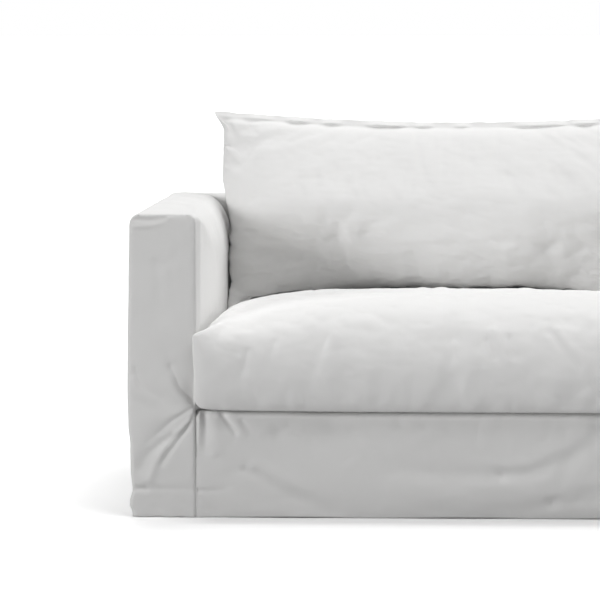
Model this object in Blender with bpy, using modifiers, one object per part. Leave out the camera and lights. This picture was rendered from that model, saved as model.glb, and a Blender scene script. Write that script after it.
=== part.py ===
"""Loose slipcover for a low two-seat sofa, with its seat and back cushions.

The body cover is sewn from cut panels of plain cotton and linen cloth. It hangs
hollow, as it does over the sofa's frame, and its hem falls to the floor. Every
panel is an open surface laid out by a function of the sofa's own sizes and its
table of folds, then thickened inwards. Each cushion is one filled body.

Sofa frame of the functions: x across, y back from the fronts of the arms, z up.
An empty carries that frame to the origin, the bottom centre of the whole.
"""

import math
from collections import namedtuple

import bmesh
import bpy
from mathutils import Vector

# ---------------------------------------------------------------- sizes, metres

# Body cover
HALF_WIDTH = 0.706        # centre line to an arm's outer side, at the arm's top edge
DEPTH = 0.980             # fronts of the arms to the outside back
ARM_TOP = 0.660           # floor to the arms' tops, and to the back rail's
INNER_HALF = 0.5623       # centre line to the seam of an arm's front and inner side
RAIL_FACE = 0.830         # fronts of the arms to the inside back
DECK_TOP = 0.233          # floor to the deck under the seat cushion
CLOTH = 0.002             # thickness of the cloth
GAP = 0.0003              # between the edges of two panels at a seam
MITRE_GAP = 0.0012        # and along the mitred seams over the rear corners
SEAM_DROP = 0.004         # how far a front seam lies behind the panels it joins
SEAM_ROUNDING = 0.008     # reach of the rounding beside a front seam
EDGE_RADIUS = 0.021       # the arms' and the rail's outer edges
FRONT_CORNER_RADIUS = 0.020   # the inner top corner of an arm's front
ROLL_RADIUS = 0.018       # the skirt's turn on to the deck
ROLL_BACK = 0.080         # fronts of the arms to the seam of the skirt and the deck
WAVE = 0.0021             # height of the slow waves in the hanging panels
HEM_LIFT = 0.0009         # half of how far the hem rises off the floor here and there
HEM_TUCK = 0.006          # how far the skirt's hem hangs behind its face
HEM_TUCK_TO = 0.060       # height by which the skirt has come out to its face
TOP_SWELL = 0.003         # crown of the arms' tops

# An arm's inner top edge is tight at the front seam and slack towards the back
SLACK_ACROSS = 0.066
SLACK_DOWN = 0.120
SLACK_FROM = 0.450        # depth by which the edge is fully slack
INNER_ROLL = 0.0090       # swell of the inner side just behind the front seam
INNER_SWELL = 0.0120      # further swell by the time it meets the back
ROLL_DEPTH = 0.030        # depth over which the inner side swells behind the seam
MITRE_INNER = INNER_HALF - INNER_ROLL - INNER_SWELL + SLACK_ACROSS

# Seat cushion
SEAT_NOSE = -0.036        # its front, ahead of the arms
SEAT_REAR = 0.820
SEAT_HALF_NOSE = 0.5745   # half its width ahead of the arms
SEAT_HALF_FRONT = 0.5474  # half its width just behind the arms' fronts
SEAT_HALF_REAR = 0.5370
PINCH_FROM = -0.0145      # depth at which the arms start to pinch it
PINCH_RUN = 0.024         # depth over which they do
SEAT_BOTTOM = 0.2355
SEAT_TUCK = 0.012         # how far its lower edges and front corners are drawn in
SEAT_SEAM_MIDDLE = 0.340  # top of the band at the middle of the front
SEAT_SEAM_END = 0.404     # top of the band at the front corners
SEAT_SEAM_DROP = 0.028    # fall of the side seams from the front to the rear
SEAT_CROWN = 0.4715       # top of the crown
SEAT_CROWN_Y = 0.390      # depth of the crown's middle
SEAT_END_SHAPE = (8.0, 1.0)    # powers that round the crown off to front and rear
SEAT_SIDE_SHAPE = (4.0, 0.42)   # and to its sides
SEAT_SEAM_LIFT = 5        # power by which the front seam stays low until its corners
SEAT_DIP = 0.0225         # fall of the top from the crown to where the back cushion rests
SEAT_DIP_RUN = 0.150      # depth over which it falls

# Back cushion
BACK_HALF_LOW = 0.5370    # half its width between the arms
BACK_HALF_HIGH = 0.5555   # and above them
BACK_BOTTOM_Y = 0.695     # depth of its bottom seam
BACK_LEAN = 0.331         # how far the seam line runs back for each metre of height
BACK_TOP_MIDDLE = 0.8360  # top of its flange at the middle
BACK_TOP_RISE = 0.0260    # rise of the top towards the corners
FLANGE = 0.016            # height of the flange along the top seam
FLANGE_HALF = 0.0016      # half the thickness of the flange
EAR_OUT = 0.0270          # reach of the corners' ears
EAR_FROM = 0.93           # share of the height above which an ear starts
BACK_SWELL_FRONT = 0.150  # seam line to the fullest of its front
BACK_SWELL_REAR = 0.105   # and of its rear, before the rail flattens it
BACK_LEVEL = 0.15         # share of its half height in which its fullness levels out
BACK_UPPER = (1.12, 0.42)       # powers of its upper slope
BACK_LOWER = (1.20, 0.36)       # powers of its lower bulge, at the middle
BACK_LOWER_SIDE = (0.88, 1.05)  # and towards its sides, where it is drawn in
BACK_DRAWN_IN = (0.15, 0.55)    # share of its half width where that starts, and its run
BACK_STRETCH_BELOW = 0.2  # share of its half height below which it reaches into the dip
BACK_FULL_BELOW = 0.36    # how much fuller it is at the bottom than half way up
BACK_SIDE_POWER = (6.0, 3.0)    # power by which it stays full until its sides, up and low
BACK_SIDE_BELOW = 0.2     # share of its half height where its sides start to be low
REST_GAP = 0.004          # clearance of the cushions where they rest

WHOLE_FRONT = SEAT_NOSE
WHOLE_REAR = DEPTH + 0.003
CENTRE_Y = (WHOLE_FRONT + WHOLE_REAR) / 2

# Cells along each stretch of a panel
WRAP_CELLS = (10, 4, 4, 6, 4)     # outer side, outer edge, top, inner edge, inner side
WRAP_DEPTH_CELLS = 13
FRONT_ROWS = (25, 4)              # face, rounded top
FRONT_COLUMNS = 14
SKIRT_COLUMNS = (10, 14, 10)      # left gathers, middle, right gathers
SKIRT_ROWS = (11, 3, 2)           # face, roll, deck
GATHER_WIDTH = 0.130              # width of the skirt's finely divided ends
BACK_CELLS = (4, 3, 3, 3, 8)      # inside back, inner edge, rail top, outer edge, outside
BACK_COLUMNS = 20
SEAT_CELLS = (14, 11, 4)          # of its cage, subdivided once
SEAT_BAND = (0.0, 0.14, 0.50, 0.86, 1.0)   # shares of the band's height
BACK_CUSHION_CELLS = (30, 15, 2)

CLOTH_COLOUR = (0.78, 0.775, 0.765)
CUSHION_COLOUR = (0.80, 0.795, 0.785)
CLOTH_ROUGHNESS = 0.92

# ------------------------------------------------------------------ fold tables

# A soft trough (height below zero) or ridge. On a panel's face it runs from (x0, z0)
# to (x1, z1), bowed sideways in between. It is strongest at its first end.
Fold = namedtuple("Fold", "x0 z0 x1 z1 bow width height")

# Fronts of the arms: x counts outwards from the seam with the inner side and skirt
ARM_FRONT_FOLDS = {
    -1: (
        #    x0      z0     x1      z1      bow    width  height
        Fold(0.004, 0.252, 0.120, 0.405, -0.012, 0.013, -0.0075),
        Fold(0.030, 0.330, 0.060, 0.430, 0.000, 0.016, 0.0030),
        Fold(0.010, 0.239, 0.107, 0.163, -0.004, 0.008, -0.0060),
        Fold(0.056, 0.173, 0.120, 0.110, -0.006, 0.011, -0.0035),
        Fold(0.014, 0.217, 0.104, 0.084, 0.006, 0.009, 0.0045),
        Fold(0.008, 0.223, 0.084, 0.100, -0.004, 0.0065, -0.0065),
        Fold(0.020, 0.235, 0.130, 0.260, 0.004, 0.018, 0.0035),
        Fold(0.130, 0.069, 0.004, 0.064, 0.000, 0.007, -0.0035),
        Fold(0.130, 0.648, 0.060, 0.649, 0.000, 0.006, -0.0028),
    ),
    1: (
        Fold(0.004, 0.250, 0.112, 0.382, 0.010, 0.014, -0.0065),
        Fold(0.036, 0.352, 0.072, 0.450, 0.004, 0.018, 0.0025),
        Fold(0.010, 0.236, 0.116, 0.185, 0.004, 0.009, -0.0055),
        Fold(0.048, 0.188, 0.112, 0.126, -0.004, 0.011, -0.0030),
        Fold(0.012, 0.214, 0.092, 0.096, 0.005, 0.010, 0.0040),
        Fold(0.008, 0.220, 0.066, 0.088, -0.003, 0.0070, -0.0060),
        Fold(0.128, 0.058, 0.006, 0.070, 0.000, 0.008, -0.0030),
        Fold(0.128, 0.646, 0.070, 0.650, 0.000, 0.006, -0.0022),
    ),
}

# Front skirt: x counts from the centre line
SKIRT_FOLDS = (
    Fold(-0.5515, 0.236, -0.550, 0.185, 0.000, 0.0060, 0.0045),
    Fold(-0.5455, 0.230, -0.547, 0.155, 0.000, 0.0055, -0.0055),
    Fold(-0.5350, 0.238, -0.531, 0.190, 0.000, 0.0070, 0.0050),
    Fold(-0.5190, 0.236, -0.512, 0.195, 0.000, 0.0100, 0.0050),
    Fold(-0.5040, 0.226, -0.478, 0.180, 0.000, 0.0075, -0.0060),
    Fold(-0.4600, 0.212, -0.442, 0.182, 0.000, 0.0080, -0.0025),
    Fold(-0.5540, 0.064, -0.470, 0.062, 0.000, 0.0080, -0.0025),
    Fold(0.0300, 0.094, -0.120, 0.104, 0.003, 0.0150, -0.0030),
    Fold(0.0600, 0.093, 0.215, 0.125, -0.010, 0.0140, -0.0040),
    Fold(0.2150, 0.124, 0.318, 0.210, -0.012, 0.0130, -0.0045),
    Fold(0.2600, 0.030, 0.130, 0.019, 0.000, 0.0130, -0.0040),
    Fold(0.2600, 0.030, 0.400, 0.056, 0.000, 0.0150, -0.0040),
    Fold(0.5525, 0.235, 0.551, 0.180, 0.000, 0.0065, 0.0045),
    Fold(0.5440, 0.229, 0.541, 0.150, 0.000, 0.0060, -0.0055),
    Fold(0.5300, 0.237, 0.524, 0.185, 0.000, 0.0080, 0.0050),
    Fold(0.5100, 0.228, 0.480, 0.172, 0.003, 0.0080, -0.0055),
    Fold(0.4700, 0.214, 0.452, 0.178, 0.000, 0.0090, -0.0030),
)

# Outer sides of the arms: x counts back from the fronts of the arms
SIDE_FOLDS = {
    -1: (
        Fold(0.020, 0.180, 0.300, 0.120, -0.010, 0.030, -0.0040),
        Fold(0.940, 0.560, 0.700, 0.210, 0.030, 0.034, -0.0050),
        Fold(0.520, 0.640, 0.460, 0.300, 0.010, 0.040, -0.0040),
        Fold(0.600, 0.060, 0.930, 0.110, 0.000, 0.022, -0.0050),
        Fold(0.300, 0.420, 0.080, 0.300, 0.000, 0.036, 0.0040),
    ),
    1: (
        Fold(0.020, 0.200, 0.360, 0.140, 0.012, 0.032, -0.0040),
        Fold(0.930, 0.600, 0.780, 0.260, 0.020, 0.030, -0.0050),
        Fold(0.380, 0.640, 0.420, 0.260, 0.000, 0.038, -0.0040),
        Fold(0.500, 0.080, 0.900, 0.060, 0.008, 0.024, -0.0050),
        Fold(0.620, 0.450, 0.560, 0.200, 0.000, 0.040, 0.0040),
    ),
}

# Outside back: x counts from the centre line
OUTSIDE_BACK_FOLDS = (
    Fold(-0.640, 0.600, -0.380, 0.220, 0.030, 0.040, -0.0060),
    Fold(0.650, 0.580, 0.460, 0.240, -0.020, 0.036, -0.0060),
    Fold(-0.150, 0.640, -0.100, 0.250, 0.010, 0.050, -0.0040),
    Fold(0.260, 0.630, 0.200, 0.300, 0.000, 0.044, 0.0040),
    Fold(-0.500, 0.070, 0.060, 0.090, 0.012, 0.026, -0.0050),
    Fold(0.560, 0.060, 0.200, 0.070, 0.000, 0.022, -0.0040),
)

# How far an arm's outer side stands out of the line of its top edge at each height
SideLine = namedtuple("SideLine", "height out")
SIDE_LINE = (
    SideLine(0.000, -0.0040),
    SideLine(0.032, 0.0010),
    SideLine(0.060, -0.0040),
    SideLine(0.100, -0.0015),
    SideLine(0.155, -0.0025),
    SideLine(0.220, 0.0035),
    SideLine(0.270, 0.0050),
    SideLine(0.400, 0.0040),
    SideLine(0.500, 0.0020),
    SideLine(0.640, 0.0000),
)

# ------------------------------------------------------------- shared functions


def clamp(value, low=0.0, high=1.0):
    return max(low, min(high, value))


def blend(start, end, share):
    return start + (end - start) * share


def ease(share):
    """A share from 0 to 1 with a level start and finish."""
    share = clamp(share)
    return share * share * (3.0 - 2.0 * share)


def along_table(rows, height):
    """The second column of a table at a height, eased between its rows."""
    for low, high in zip(rows, rows[1:]):
        if height <= high.height:
            share = (height - low.height) / (high.height - low.height)
            return blend(low.out, high.out, ease(share))
    return rows[-1].out


def fold_height(folds, across, up):
    """Height of a panel's face over its plain form, from its table of folds."""
    total = 0.0
    for fold in folds:
        run = Vector((fold.x1 - fold.x0, fold.z1 - fold.z0))
        from_start = Vector((across - fold.x0, up - fold.z0))
        share = from_start.dot(run) / run.length_squared
        within = clamp(share)
        beyond = (share - within) * run.length
        bowed = 4.0 * fold.bow * within * (1.0 - within)
        sideways = (run.x * from_start.y - run.y * from_start.x) / run.length - bowed
        width = fold.width * (1.0 + 0.8 * within)
        falloff = math.exp(-(sideways**2 + beyond**2) / width**2)
        total += fold.height * (1.0 - 0.7 * within) * falloff
    return total


def on_stretch(position, cells):
    """Which stretch of a panel a position from 0 to 1 is on, and how far along it."""
    cell = position * sum(cells)
    for index, count in enumerate(cells):
        if cell < count - 1e-6 or index == len(cells) - 1:
            return index, cell / count
        cell -= count
    return len(cells) - 1, 1.0


def cloth_material(name, colour):
    material = bpy.data.materials.new(name)
    material.use_nodes = True
    shader = material.node_tree.nodes["Principled BSDF"]
    shader.inputs["Base Color"].default_value = (*colour, 1.0)
    shader.inputs["Roughness"].default_value = CLOTH_ROUGHNESS
    shader.inputs["Metallic"].default_value = 0.0
    material.diffuse_color = (*colour, 1.0)
    return material


def add_piece(name, mesh_edit, colour):
    """Make an object of an edited mesh, carried by the empty of the sofa's frame."""
    mesh = bpy.data.meshes.new(name)
    mesh_edit.to_mesh(mesh)
    mesh_edit.free()
    mesh.shade_smooth()
    piece = bpy.data.objects.new(name, mesh)
    piece.data.materials.append(cloth_material(name, colour))
    cover.objects.link(piece)
    piece.parent = sofa_frame
    return piece


def cloth_panel(name, columns, rows, place, flip=False):
    """A cut panel: a grid put in place by place(u, v), then thickened inwards."""
    grid = bmesh.new()
    bmesh.ops.create_grid(grid, x_segments=columns, y_segments=rows, size=0.5)
    for vertex in grid.verts:
        vertex.co = place(clamp(vertex.co.x + 0.5), clamp(vertex.co.y + 0.5))
    if flip:
        bmesh.ops.reverse_faces(grid, faces=grid.faces)
    panel = add_piece(name, grid, CLOTH_COLOUR)
    thicken = panel.modifiers.new("cloth", "SOLIDIFY")
    thicken.thickness = CLOTH
    thicken.offset = -1.0
    return panel


def filled_body(name, cells, place, flip=False):
    """A filled cushion: a divided cube put in shape by place(a, b, c), each -1 to 1."""
    body = bmesh.new()
    bmesh.ops.create_cube(body, size=2.0)
    for axis, count in enumerate(cells):
        along = [
            edge
            for edge in body.edges
            if abs(edge.verts[0].co[axis] - edge.verts[1].co[axis]) > 1e-6
        ]
        bmesh.ops.subdivide_edges(body, edges=along, cuts=count - 1, use_grid_fill=True)
    for vertex in body.verts:
        vertex.co = place(*vertex.co)
    if flip:
        bmesh.ops.reverse_faces(body, faces=body.faces)
    return add_piece(name, body, CUSHION_COLOUR)


# --------------------------------------------------------- surfaces of the cover


def side_out(side, depth, height):
    """Distance of an arm's outer side from the centre line."""
    calm = ease((DEPTH - depth) / 0.06)
    hang = along_table(SIDE_LINE, height) * blend(0.5, 1.0, ease(1.0 - depth / 0.4))
    wave = WAVE * math.sin(depth * 13.0 + 2.0 * side) * math.sin(math.pi * height / ARM_TOP)
    folds = fold_height(SIDE_FOLDS[side], depth, height) * ease(depth / 0.05)
    slack = ease((ARM_TOP - EDGE_RADIUS - height) / 0.06)
    return HALF_WIDTH + hang + (wave * ease(depth / 0.08) + folds) * calm * slack


def back_out(across, height):
    """Depth of the outside back."""
    calm = ease((HALF_WIDTH - abs(across)) / 0.05)
    slack = ease((ARM_TOP - EDGE_RADIUS - height) / 0.06)
    hang = along_table(SIDE_LINE, height) * 0.5
    wave = WAVE * math.sin(across * 9.0 + 0.6) * math.sin(math.pi * height / ARM_TOP)
    folds = fold_height(OUTSIDE_BACK_FOLDS, across, height)
    return DEPTH + hang * slack + (wave + folds) * calm * slack


def hem_height(place_along):
    """The hem falls to the floor, a little short of it here and there."""
    return HEM_LIFT * (1.0 + math.sin(place_along * 17.0 + 1.3))


def inner_half(depth):
    """Distance of an arm's inner side from the centre line."""
    roll = ease((depth - SEAM_DROP) / ROLL_DEPTH)
    swell = ease(depth / RAIL_FACE)
    return INNER_HALF - INNER_ROLL * roll - INNER_SWELL * swell


def inner_edge_radii(depth):
    """Width and drop of an arm's rounded inner top edge."""
    slack = ease(depth / SLACK_FROM)
    across = blend(FRONT_CORNER_RADIUS, SLACK_ACROSS, slack)
    down = blend(FRONT_CORNER_RADIUS, SLACK_DOWN, slack)
    return across, down


def rail_face(height):
    """Depth of the inside back, which curves back into the top of the rail."""
    above = clamp(height - (ARM_TOP - EDGE_RADIUS), 0.0, EDGE_RADIUS)
    return RAIL_FACE + EDGE_RADIUS - math.sqrt(EDGE_RADIUS**2 - above**2)


def mitre_depth(across):
    """Depth of the seam over the arm and the rail, for a distance from the centre."""
    from_side = HALF_WIDTH - across
    if from_side < EDGE_RADIUS:
        return DEPTH - from_side
    share = (from_side - EDGE_RADIUS) / (HALF_WIDTH - MITRE_INNER - EDGE_RADIUS)
    return blend(DEPTH - EDGE_RADIUS, RAIL_FACE + EDGE_RADIUS, share)


def mitre_across(depth):
    """The same seam, as a distance from the centre for a depth."""
    from_back = DEPTH - depth
    if from_back < EDGE_RADIUS:
        return HALF_WIDTH - from_back
    share = (from_back - EDGE_RADIUS) / (DEPTH - RAIL_FACE - 2.0 * EDGE_RADIUS)
    return blend(HALF_WIDTH - EDGE_RADIUS, MITRE_INNER, share)


# ---------------------------------------------------------------- the arm wraps


def arm_section(side, stretch, share, depth):
    """Distance from the centre line and height of a point across an arm's wrap."""
    slack_across, slack_down = inner_edge_radii(depth)
    inner = inner_half(depth)
    top_outer = HALF_WIDTH - EDGE_RADIUS
    if stretch == 0:
        height = blend(hem_height(depth), ARM_TOP - EDGE_RADIUS, share)
        return side_out(side, depth, height), height
    if stretch == 1:
        angle = share * math.pi / 2
        across = top_outer + EDGE_RADIUS * math.cos(angle)
        return across, ARM_TOP - EDGE_RADIUS + EDGE_RADIUS * math.sin(angle)
    if stretch == 2:
        across = blend(top_outer, inner + slack_across, share)
        swell = TOP_SWELL * math.sin(math.pi * share) * ease(depth / 0.1)
        return across, ARM_TOP + swell * ease((RAIL_FACE - depth) / 0.2)
    if stretch == 3:
        angle = share * math.pi / 2
        across = inner + slack_across * (1.0 - math.sin(angle))
        return across, ARM_TOP - slack_down * (1.0 - math.cos(angle))
    bottom = DECK_TOP + GAP
    return inner, blend(ARM_TOP - slack_down, bottom, share)


def arm_wrap_end(side, stretch, share):
    """Depth at which an arm's wrap meets the back's."""
    across, height = arm_section(side, stretch, share, RAIL_FACE)
    if stretch == 0:
        return back_out(HALF_WIDTH, height) - CLOTH - GAP
    if stretch == 1:
        return mitre_depth(across) - CLOTH * math.cos(share * math.pi / 2) - MITRE_GAP
    if stretch == 2:
        return mitre_depth(across) - MITRE_GAP
    if stretch == 3:
        return rail_face(height - CLOTH) - MITRE_GAP
    return RAIL_FACE - GAP


def arm_wrap_place(side):
    """One strip over an arm: up its outer side, over its top, down to the deck."""
    start = SEAM_DROP + CLOTH + GAP

    def place(u, v):
        stretch, share = on_stretch(u, WRAP_CELLS)
        end = arm_wrap_end(side, stretch, share)
        depth = blend(start, end, v**1.3)
        across, height = arm_section(side, stretch, share, depth)
        return Vector((side * across, depth, height))

    return place


# --------------------------------------------------------------- the arm fronts


def arm_front_outline(side, height):
    """Distances from the centre line of an arm front's inner and outer edges."""
    outer = side_out(side, 0.0, height)
    inner = INNER_HALF
    over_outer = height - (ARM_TOP - EDGE_RADIUS)
    over_inner = height - (ARM_TOP - FRONT_CORNER_RADIUS)
    if over_outer > 0.0:
        drop = math.sqrt(max(EDGE_RADIUS**2 - over_outer**2, 0.0))
        outer = HALF_WIDTH - EDGE_RADIUS + drop
    if over_inner > 0.0:
        drop = math.sqrt(max(FRONT_CORNER_RADIUS**2 - over_inner**2, 0.0))
        inner = INNER_HALF + FRONT_CORNER_RADIUS - drop
    return inner, outer


def arm_front_place(side):
    """The flat front of an arm, with the creases that the seat's corner pulls in it."""

    def place(u, v):
        stretch, share = on_stretch(v, FRONT_ROWS)
        if stretch == 0:
            height = blend(hem_height(u), ARM_TOP - EDGE_RADIUS, share)
        else:
            height = ARM_TOP - EDGE_RADIUS * (1.0 - math.sin(share * math.pi / 2))
        inner, outer = arm_front_outline(side, height)
        across = blend(outer, inner, u)
        from_edge = min(outer - across, across - inner, ARM_TOP - height)
        puff = SEAM_DROP * (1.0 - math.exp(-from_edge / SEAM_ROUNDING))
        folds = fold_height(ARM_FRONT_FOLDS[side], across - INNER_HALF, height)
        depth = SEAM_DROP - puff - folds * ease(from_edge / SEAM_ROUNDING)
        return Vector((side * across, depth, height))

    return place


# ---------------------------------------------------------- the skirt, the deck


def skirt_across(u):
    """Distance from the centre line, in finer steps at the gathered ends."""
    half = INNER_HALF - GAP
    stretch, share = on_stretch(u, SKIRT_COLUMNS)
    if stretch == 0:
        return -half + GATHER_WIDTH * share
    if stretch == 1:
        return blend(GATHER_WIDTH - half, half - GATHER_WIDTH, share)
    return half - GATHER_WIDTH * (1.0 - share)


def skirt_place(u, v):
    """The front skirt, from the hem up and over the front edge on to the deck."""
    across = skirt_across(u)
    from_edge = INNER_HALF - abs(across)
    puff = SEAM_DROP * (1.0 - math.exp(-from_edge / SEAM_ROUNDING))
    slack = ease(from_edge / SEAM_ROUNDING)
    turn = DECK_TOP - ROLL_RADIUS
    stretch, share = on_stretch(v, SKIRT_ROWS)
    if stretch == 0:
        height = blend(hem_height(across), turn, share)
        tuck = HEM_TUCK * (1.0 - ease(height / HEM_TUCK_TO))
        folds = fold_height(SKIRT_FOLDS, across, height) * slack
        return Vector((across, SEAM_DROP - puff - folds + tuck, height))
    if stretch == 1:
        angle = share * math.pi / 2
        height = turn + ROLL_RADIUS * math.sin(angle)
        folds = fold_height(SKIRT_FOLDS, across, height) * slack * math.cos(angle)
        depth = ROLL_RADIUS * (1.0 - math.cos(angle)) - folds * math.cos(angle)
        return Vector((across, SEAM_DROP - puff + depth, height + folds * math.sin(angle)))
    start = SEAM_DROP - puff + ROLL_RADIUS
    return Vector((across, blend(start, ROLL_BACK, share), DECK_TOP))


def deck_place(u, v):
    """The plain deck under the seat cushion."""
    across = blend(-INNER_HALF, INNER_HALF, u)
    depth = blend(ROLL_BACK + GAP, RAIL_FACE + CLOTH, v)
    return Vector((across, depth, DECK_TOP))


# ---------------------------------------------------------------- the back wrap


def arm_reach(height):
    """Distance from the centre of an arm's inner side where it meets the back."""
    slack_across, slack_down = inner_edge_radii(RAIL_FACE)
    inner = inner_half(RAIL_FACE)
    above = clamp((height - (ARM_TOP - slack_down)) / slack_down)
    return inner + slack_across * (1.0 - math.sqrt(1.0 - above**2))


def back_wrap_place(u, v):
    """One strip over the back: up the inside, over the rail, down the outside."""
    stretch, share = on_stretch(v, BACK_CELLS)
    side = 2.0 * u - 1.0
    angle = share * math.pi / 2
    if stretch == 0:
        height = blend(DECK_TOP + GAP, ARM_TOP - EDGE_RADIUS, share)
        across = side * (arm_reach(height) + CLOTH)
        return Vector((across, RAIL_FACE, height))
    if stretch == 1:
        height = ARM_TOP - EDGE_RADIUS * (1.0 - math.sin(angle))
        across = side * (arm_reach(height) + CLOTH * math.cos(angle))
        return Vector((across, rail_face(height), height))
    if stretch == 2:
        depth = blend(RAIL_FACE + EDGE_RADIUS, DEPTH - EDGE_RADIUS, share)
        return Vector((side * (mitre_across(depth) - MITRE_GAP), depth, ARM_TOP))
    if stretch == 3:
        depth = DEPTH - EDGE_RADIUS * (1.0 - math.sin(angle))
        height = ARM_TOP - EDGE_RADIUS * (1.0 - math.cos(angle))
        across = side * (mitre_across(depth) - CLOTH * math.sin(angle) - MITRE_GAP)
        return Vector((across, depth, height))
    height = blend(ARM_TOP - EDGE_RADIUS, hem_height(side), share)
    corner = side_out(1 if side > 0 else -1, DEPTH, height) - CLOTH - GAP
    across = side * corner
    return Vector((across, back_out(across, height), height))


# ------------------------------------------------------------------ the cushions


def seat_half(depth):
    """Half the seat cushion's width: pinched between the arms, full ahead of them."""
    behind = blend(SEAT_HALF_FRONT, SEAT_HALF_REAR, ease(depth / SEAT_REAR))
    return blend(SEAT_HALF_NOSE, behind, ease((depth - PINCH_FROM) / PINCH_RUN))


def rounded(share, shape):
    """A height of 1 at share 0 that rounds off to 0 at share 1."""
    flat, full = shape
    return (1.0 - share**flat) ** full


def seat_top(across, depth):
    """Height of the seat cushion's top at rest."""
    aside = clamp(abs(across) / seat_half(max(depth, SEAT_NOSE)))
    front_half = SEAT_CROWN_Y - SEAT_NOSE
    rear_half = SEAT_REAR - SEAT_CROWN_Y
    half = front_half if depth < SEAT_CROWN_Y else rear_half
    away = clamp(abs(depth - SEAT_CROWN_Y) / half)
    end = SEAT_SEAM_END - SEAT_SEAM_DROP * clamp(depth / SEAT_REAR)
    seam = blend(SEAT_SEAM_MIDDLE, end, aside**SEAT_SEAM_LIFT)
    crown = SEAT_CROWN - SEAT_DIP * ease((depth - SEAT_CROWN_Y) / SEAT_DIP_RUN)
    rise = rounded(away, SEAT_END_SHAPE) * rounded(aside, SEAT_SIDE_SHAPE)
    return seam + (crown - seam) * rise


def seat_cushion_place(a, b, c):
    """Cage of one long seat cushion, crowned, with a soft band round it."""
    spread = 0.6 * math.sin(a * math.pi / 2) + 0.4 * a
    reach = ((b + 1.0) / 2) ** 1.5
    level = SEAT_BAND[round((c + 1.0) / 2 * SEAT_CELLS[2])]
    inset = SEAT_TUCK * (1.0 - level) ** 8
    round_off = SEAT_TUCK * abs(a) ** 14
    depth = blend(SEAT_NOSE + inset + round_off, SEAT_REAR - inset, reach)
    across = spread * (seat_half(depth) - inset)
    edge_depth = SEAT_NOSE if abs(a) < 0.999 else depth
    seam = seat_top(spread * seat_half(edge_depth), edge_depth)
    if c > 0.999:
        return Vector((across, depth, max(seam, seat_top(across, depth))))
    return Vector((across, depth, blend(SEAT_BOTTOM, seam, level)))


def back_cushion_top(spread):
    """Height of the back cushion's flange: it sags between its ears."""
    return BACK_TOP_MIDDLE + BACK_TOP_RISE * spread**2


def back_swell(spread, up):
    """Share of the back cushion's fullness over its face, spread and up each -1 to 1."""
    aside = abs(spread)
    start, run = BACK_DRAWN_IN
    drawn_in = ease((aside - start) / run)
    lower = [blend(*pair, drawn_in) for pair in zip(BACK_LOWER, BACK_LOWER_SIDE)]
    shape = BACK_UPPER if up > 0.0 else lower
    from_level = math.hypot(up, BACK_LEVEL) - BACK_LEVEL
    from_level = min(from_level / (math.hypot(1.0, BACK_LEVEL) - BACK_LEVEL), 1.0)
    rise = rounded(from_level, shape) * (1.0 - BACK_FULL_BELOW * up)
    side_power = blend(*BACK_SIDE_POWER, ease(BACK_SIDE_BELOW - up))
    return rise * rounded(aside, (side_power, 0.5))


def back_cushion_place(a, b, c):
    """One long back cushion with a flanged top seam, ears and drawn-in sides."""
    spread = math.sin(a * math.pi / 2) * 0.45 + a * 0.55
    rows = BACK_CUSHION_CELLS[1]
    flange_from = 1.0 - 2.0 / rows
    up = clamp((b + 1.0) / (flange_from + 1.0) * 2.0 - 1.0, -1.0, 1.0)
    up = math.sin(up * math.pi / 2) * 0.4 + up * 0.6
    top = back_cushion_top(spread)
    above_seam = FLANGE * clamp((b - flange_from) / (1.0 - flange_from))
    half = blend(BACK_HALF_LOW, BACK_HALF_HIGH, ease((up + 0.15) / 0.5))
    bottom = seat_top(spread * BACK_HALF_LOW, BACK_BOTTOM_Y) + REST_GAP + SEAT_DIP
    height = blend(bottom, top - FLANGE, (up + 1.0) / 2) + above_seam
    height -= SEAT_DIP * ease((-up - BACK_STRETCH_BELOW) / (1.0 - BACK_STRETCH_BELOW))
    ear = EAR_OUT * ease(((height - bottom) / (top - bottom) - EAR_FROM) / (1.0 - EAR_FROM))
    across = spread * half + math.copysign(ear * abs(spread) ** 8, spread)
    seam_y = BACK_BOTTOM_Y + BACK_LEAN * (height - SEAT_CROWN)
    swell = back_swell(spread, up)
    if c < 0.0:
        depth = seam_y + c * (FLANGE_HALF + BACK_SWELL_FRONT * swell)
    else:
        depth = seam_y + c * (FLANGE_HALF + BACK_SWELL_REAR * swell)
    depth = min(depth, RAIL_FACE - REST_GAP)
    height = max(height, seat_top(across, depth) + REST_GAP)
    return Vector((across, depth, height))


# ------------------------------------------------------------------------ build

for leftover in list(bpy.data.objects):
    bpy.data.objects.remove(leftover, do_unlink=True)

cover = bpy.data.collections.new("sofa_slipcover")
bpy.context.scene.collection.children.link(cover)

sofa_frame = bpy.data.objects.new("sofa_frame_origin", None)
sofa_frame.location = (0.0, -CENTRE_Y, 0.0)
cover.objects.link(sofa_frame)

for side, label in ((-1, "left"), (1, "right")):
    turned = side > 0
    wrap_name = "arm_wrap_" + label
    front_name = "arm_front_" + label
    cloth_panel(wrap_name, sum(WRAP_CELLS), WRAP_DEPTH_CELLS, arm_wrap_place(side), turned)
    cloth_panel(front_name, FRONT_COLUMNS, sum(FRONT_ROWS), arm_front_place(side), turned)

cloth_panel("skirt_front", sum(SKIRT_COLUMNS), sum(SKIRT_ROWS), skirt_place)
cloth_panel("deck", 2, 2, deck_place)
cloth_panel("back_wrap", BACK_COLUMNS, sum(BACK_CELLS), back_wrap_place)
seat_cushion = filled_body("seat_cushion", SEAT_CELLS, seat_cushion_place)
soften = seat_cushion.modifiers.new("soften", "SUBSURF")
soften.levels = 1
soften.render_levels = 1
filled_body("back_cushion", BACK_CUSHION_CELLS, back_cushion_place, flip=True)
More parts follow.
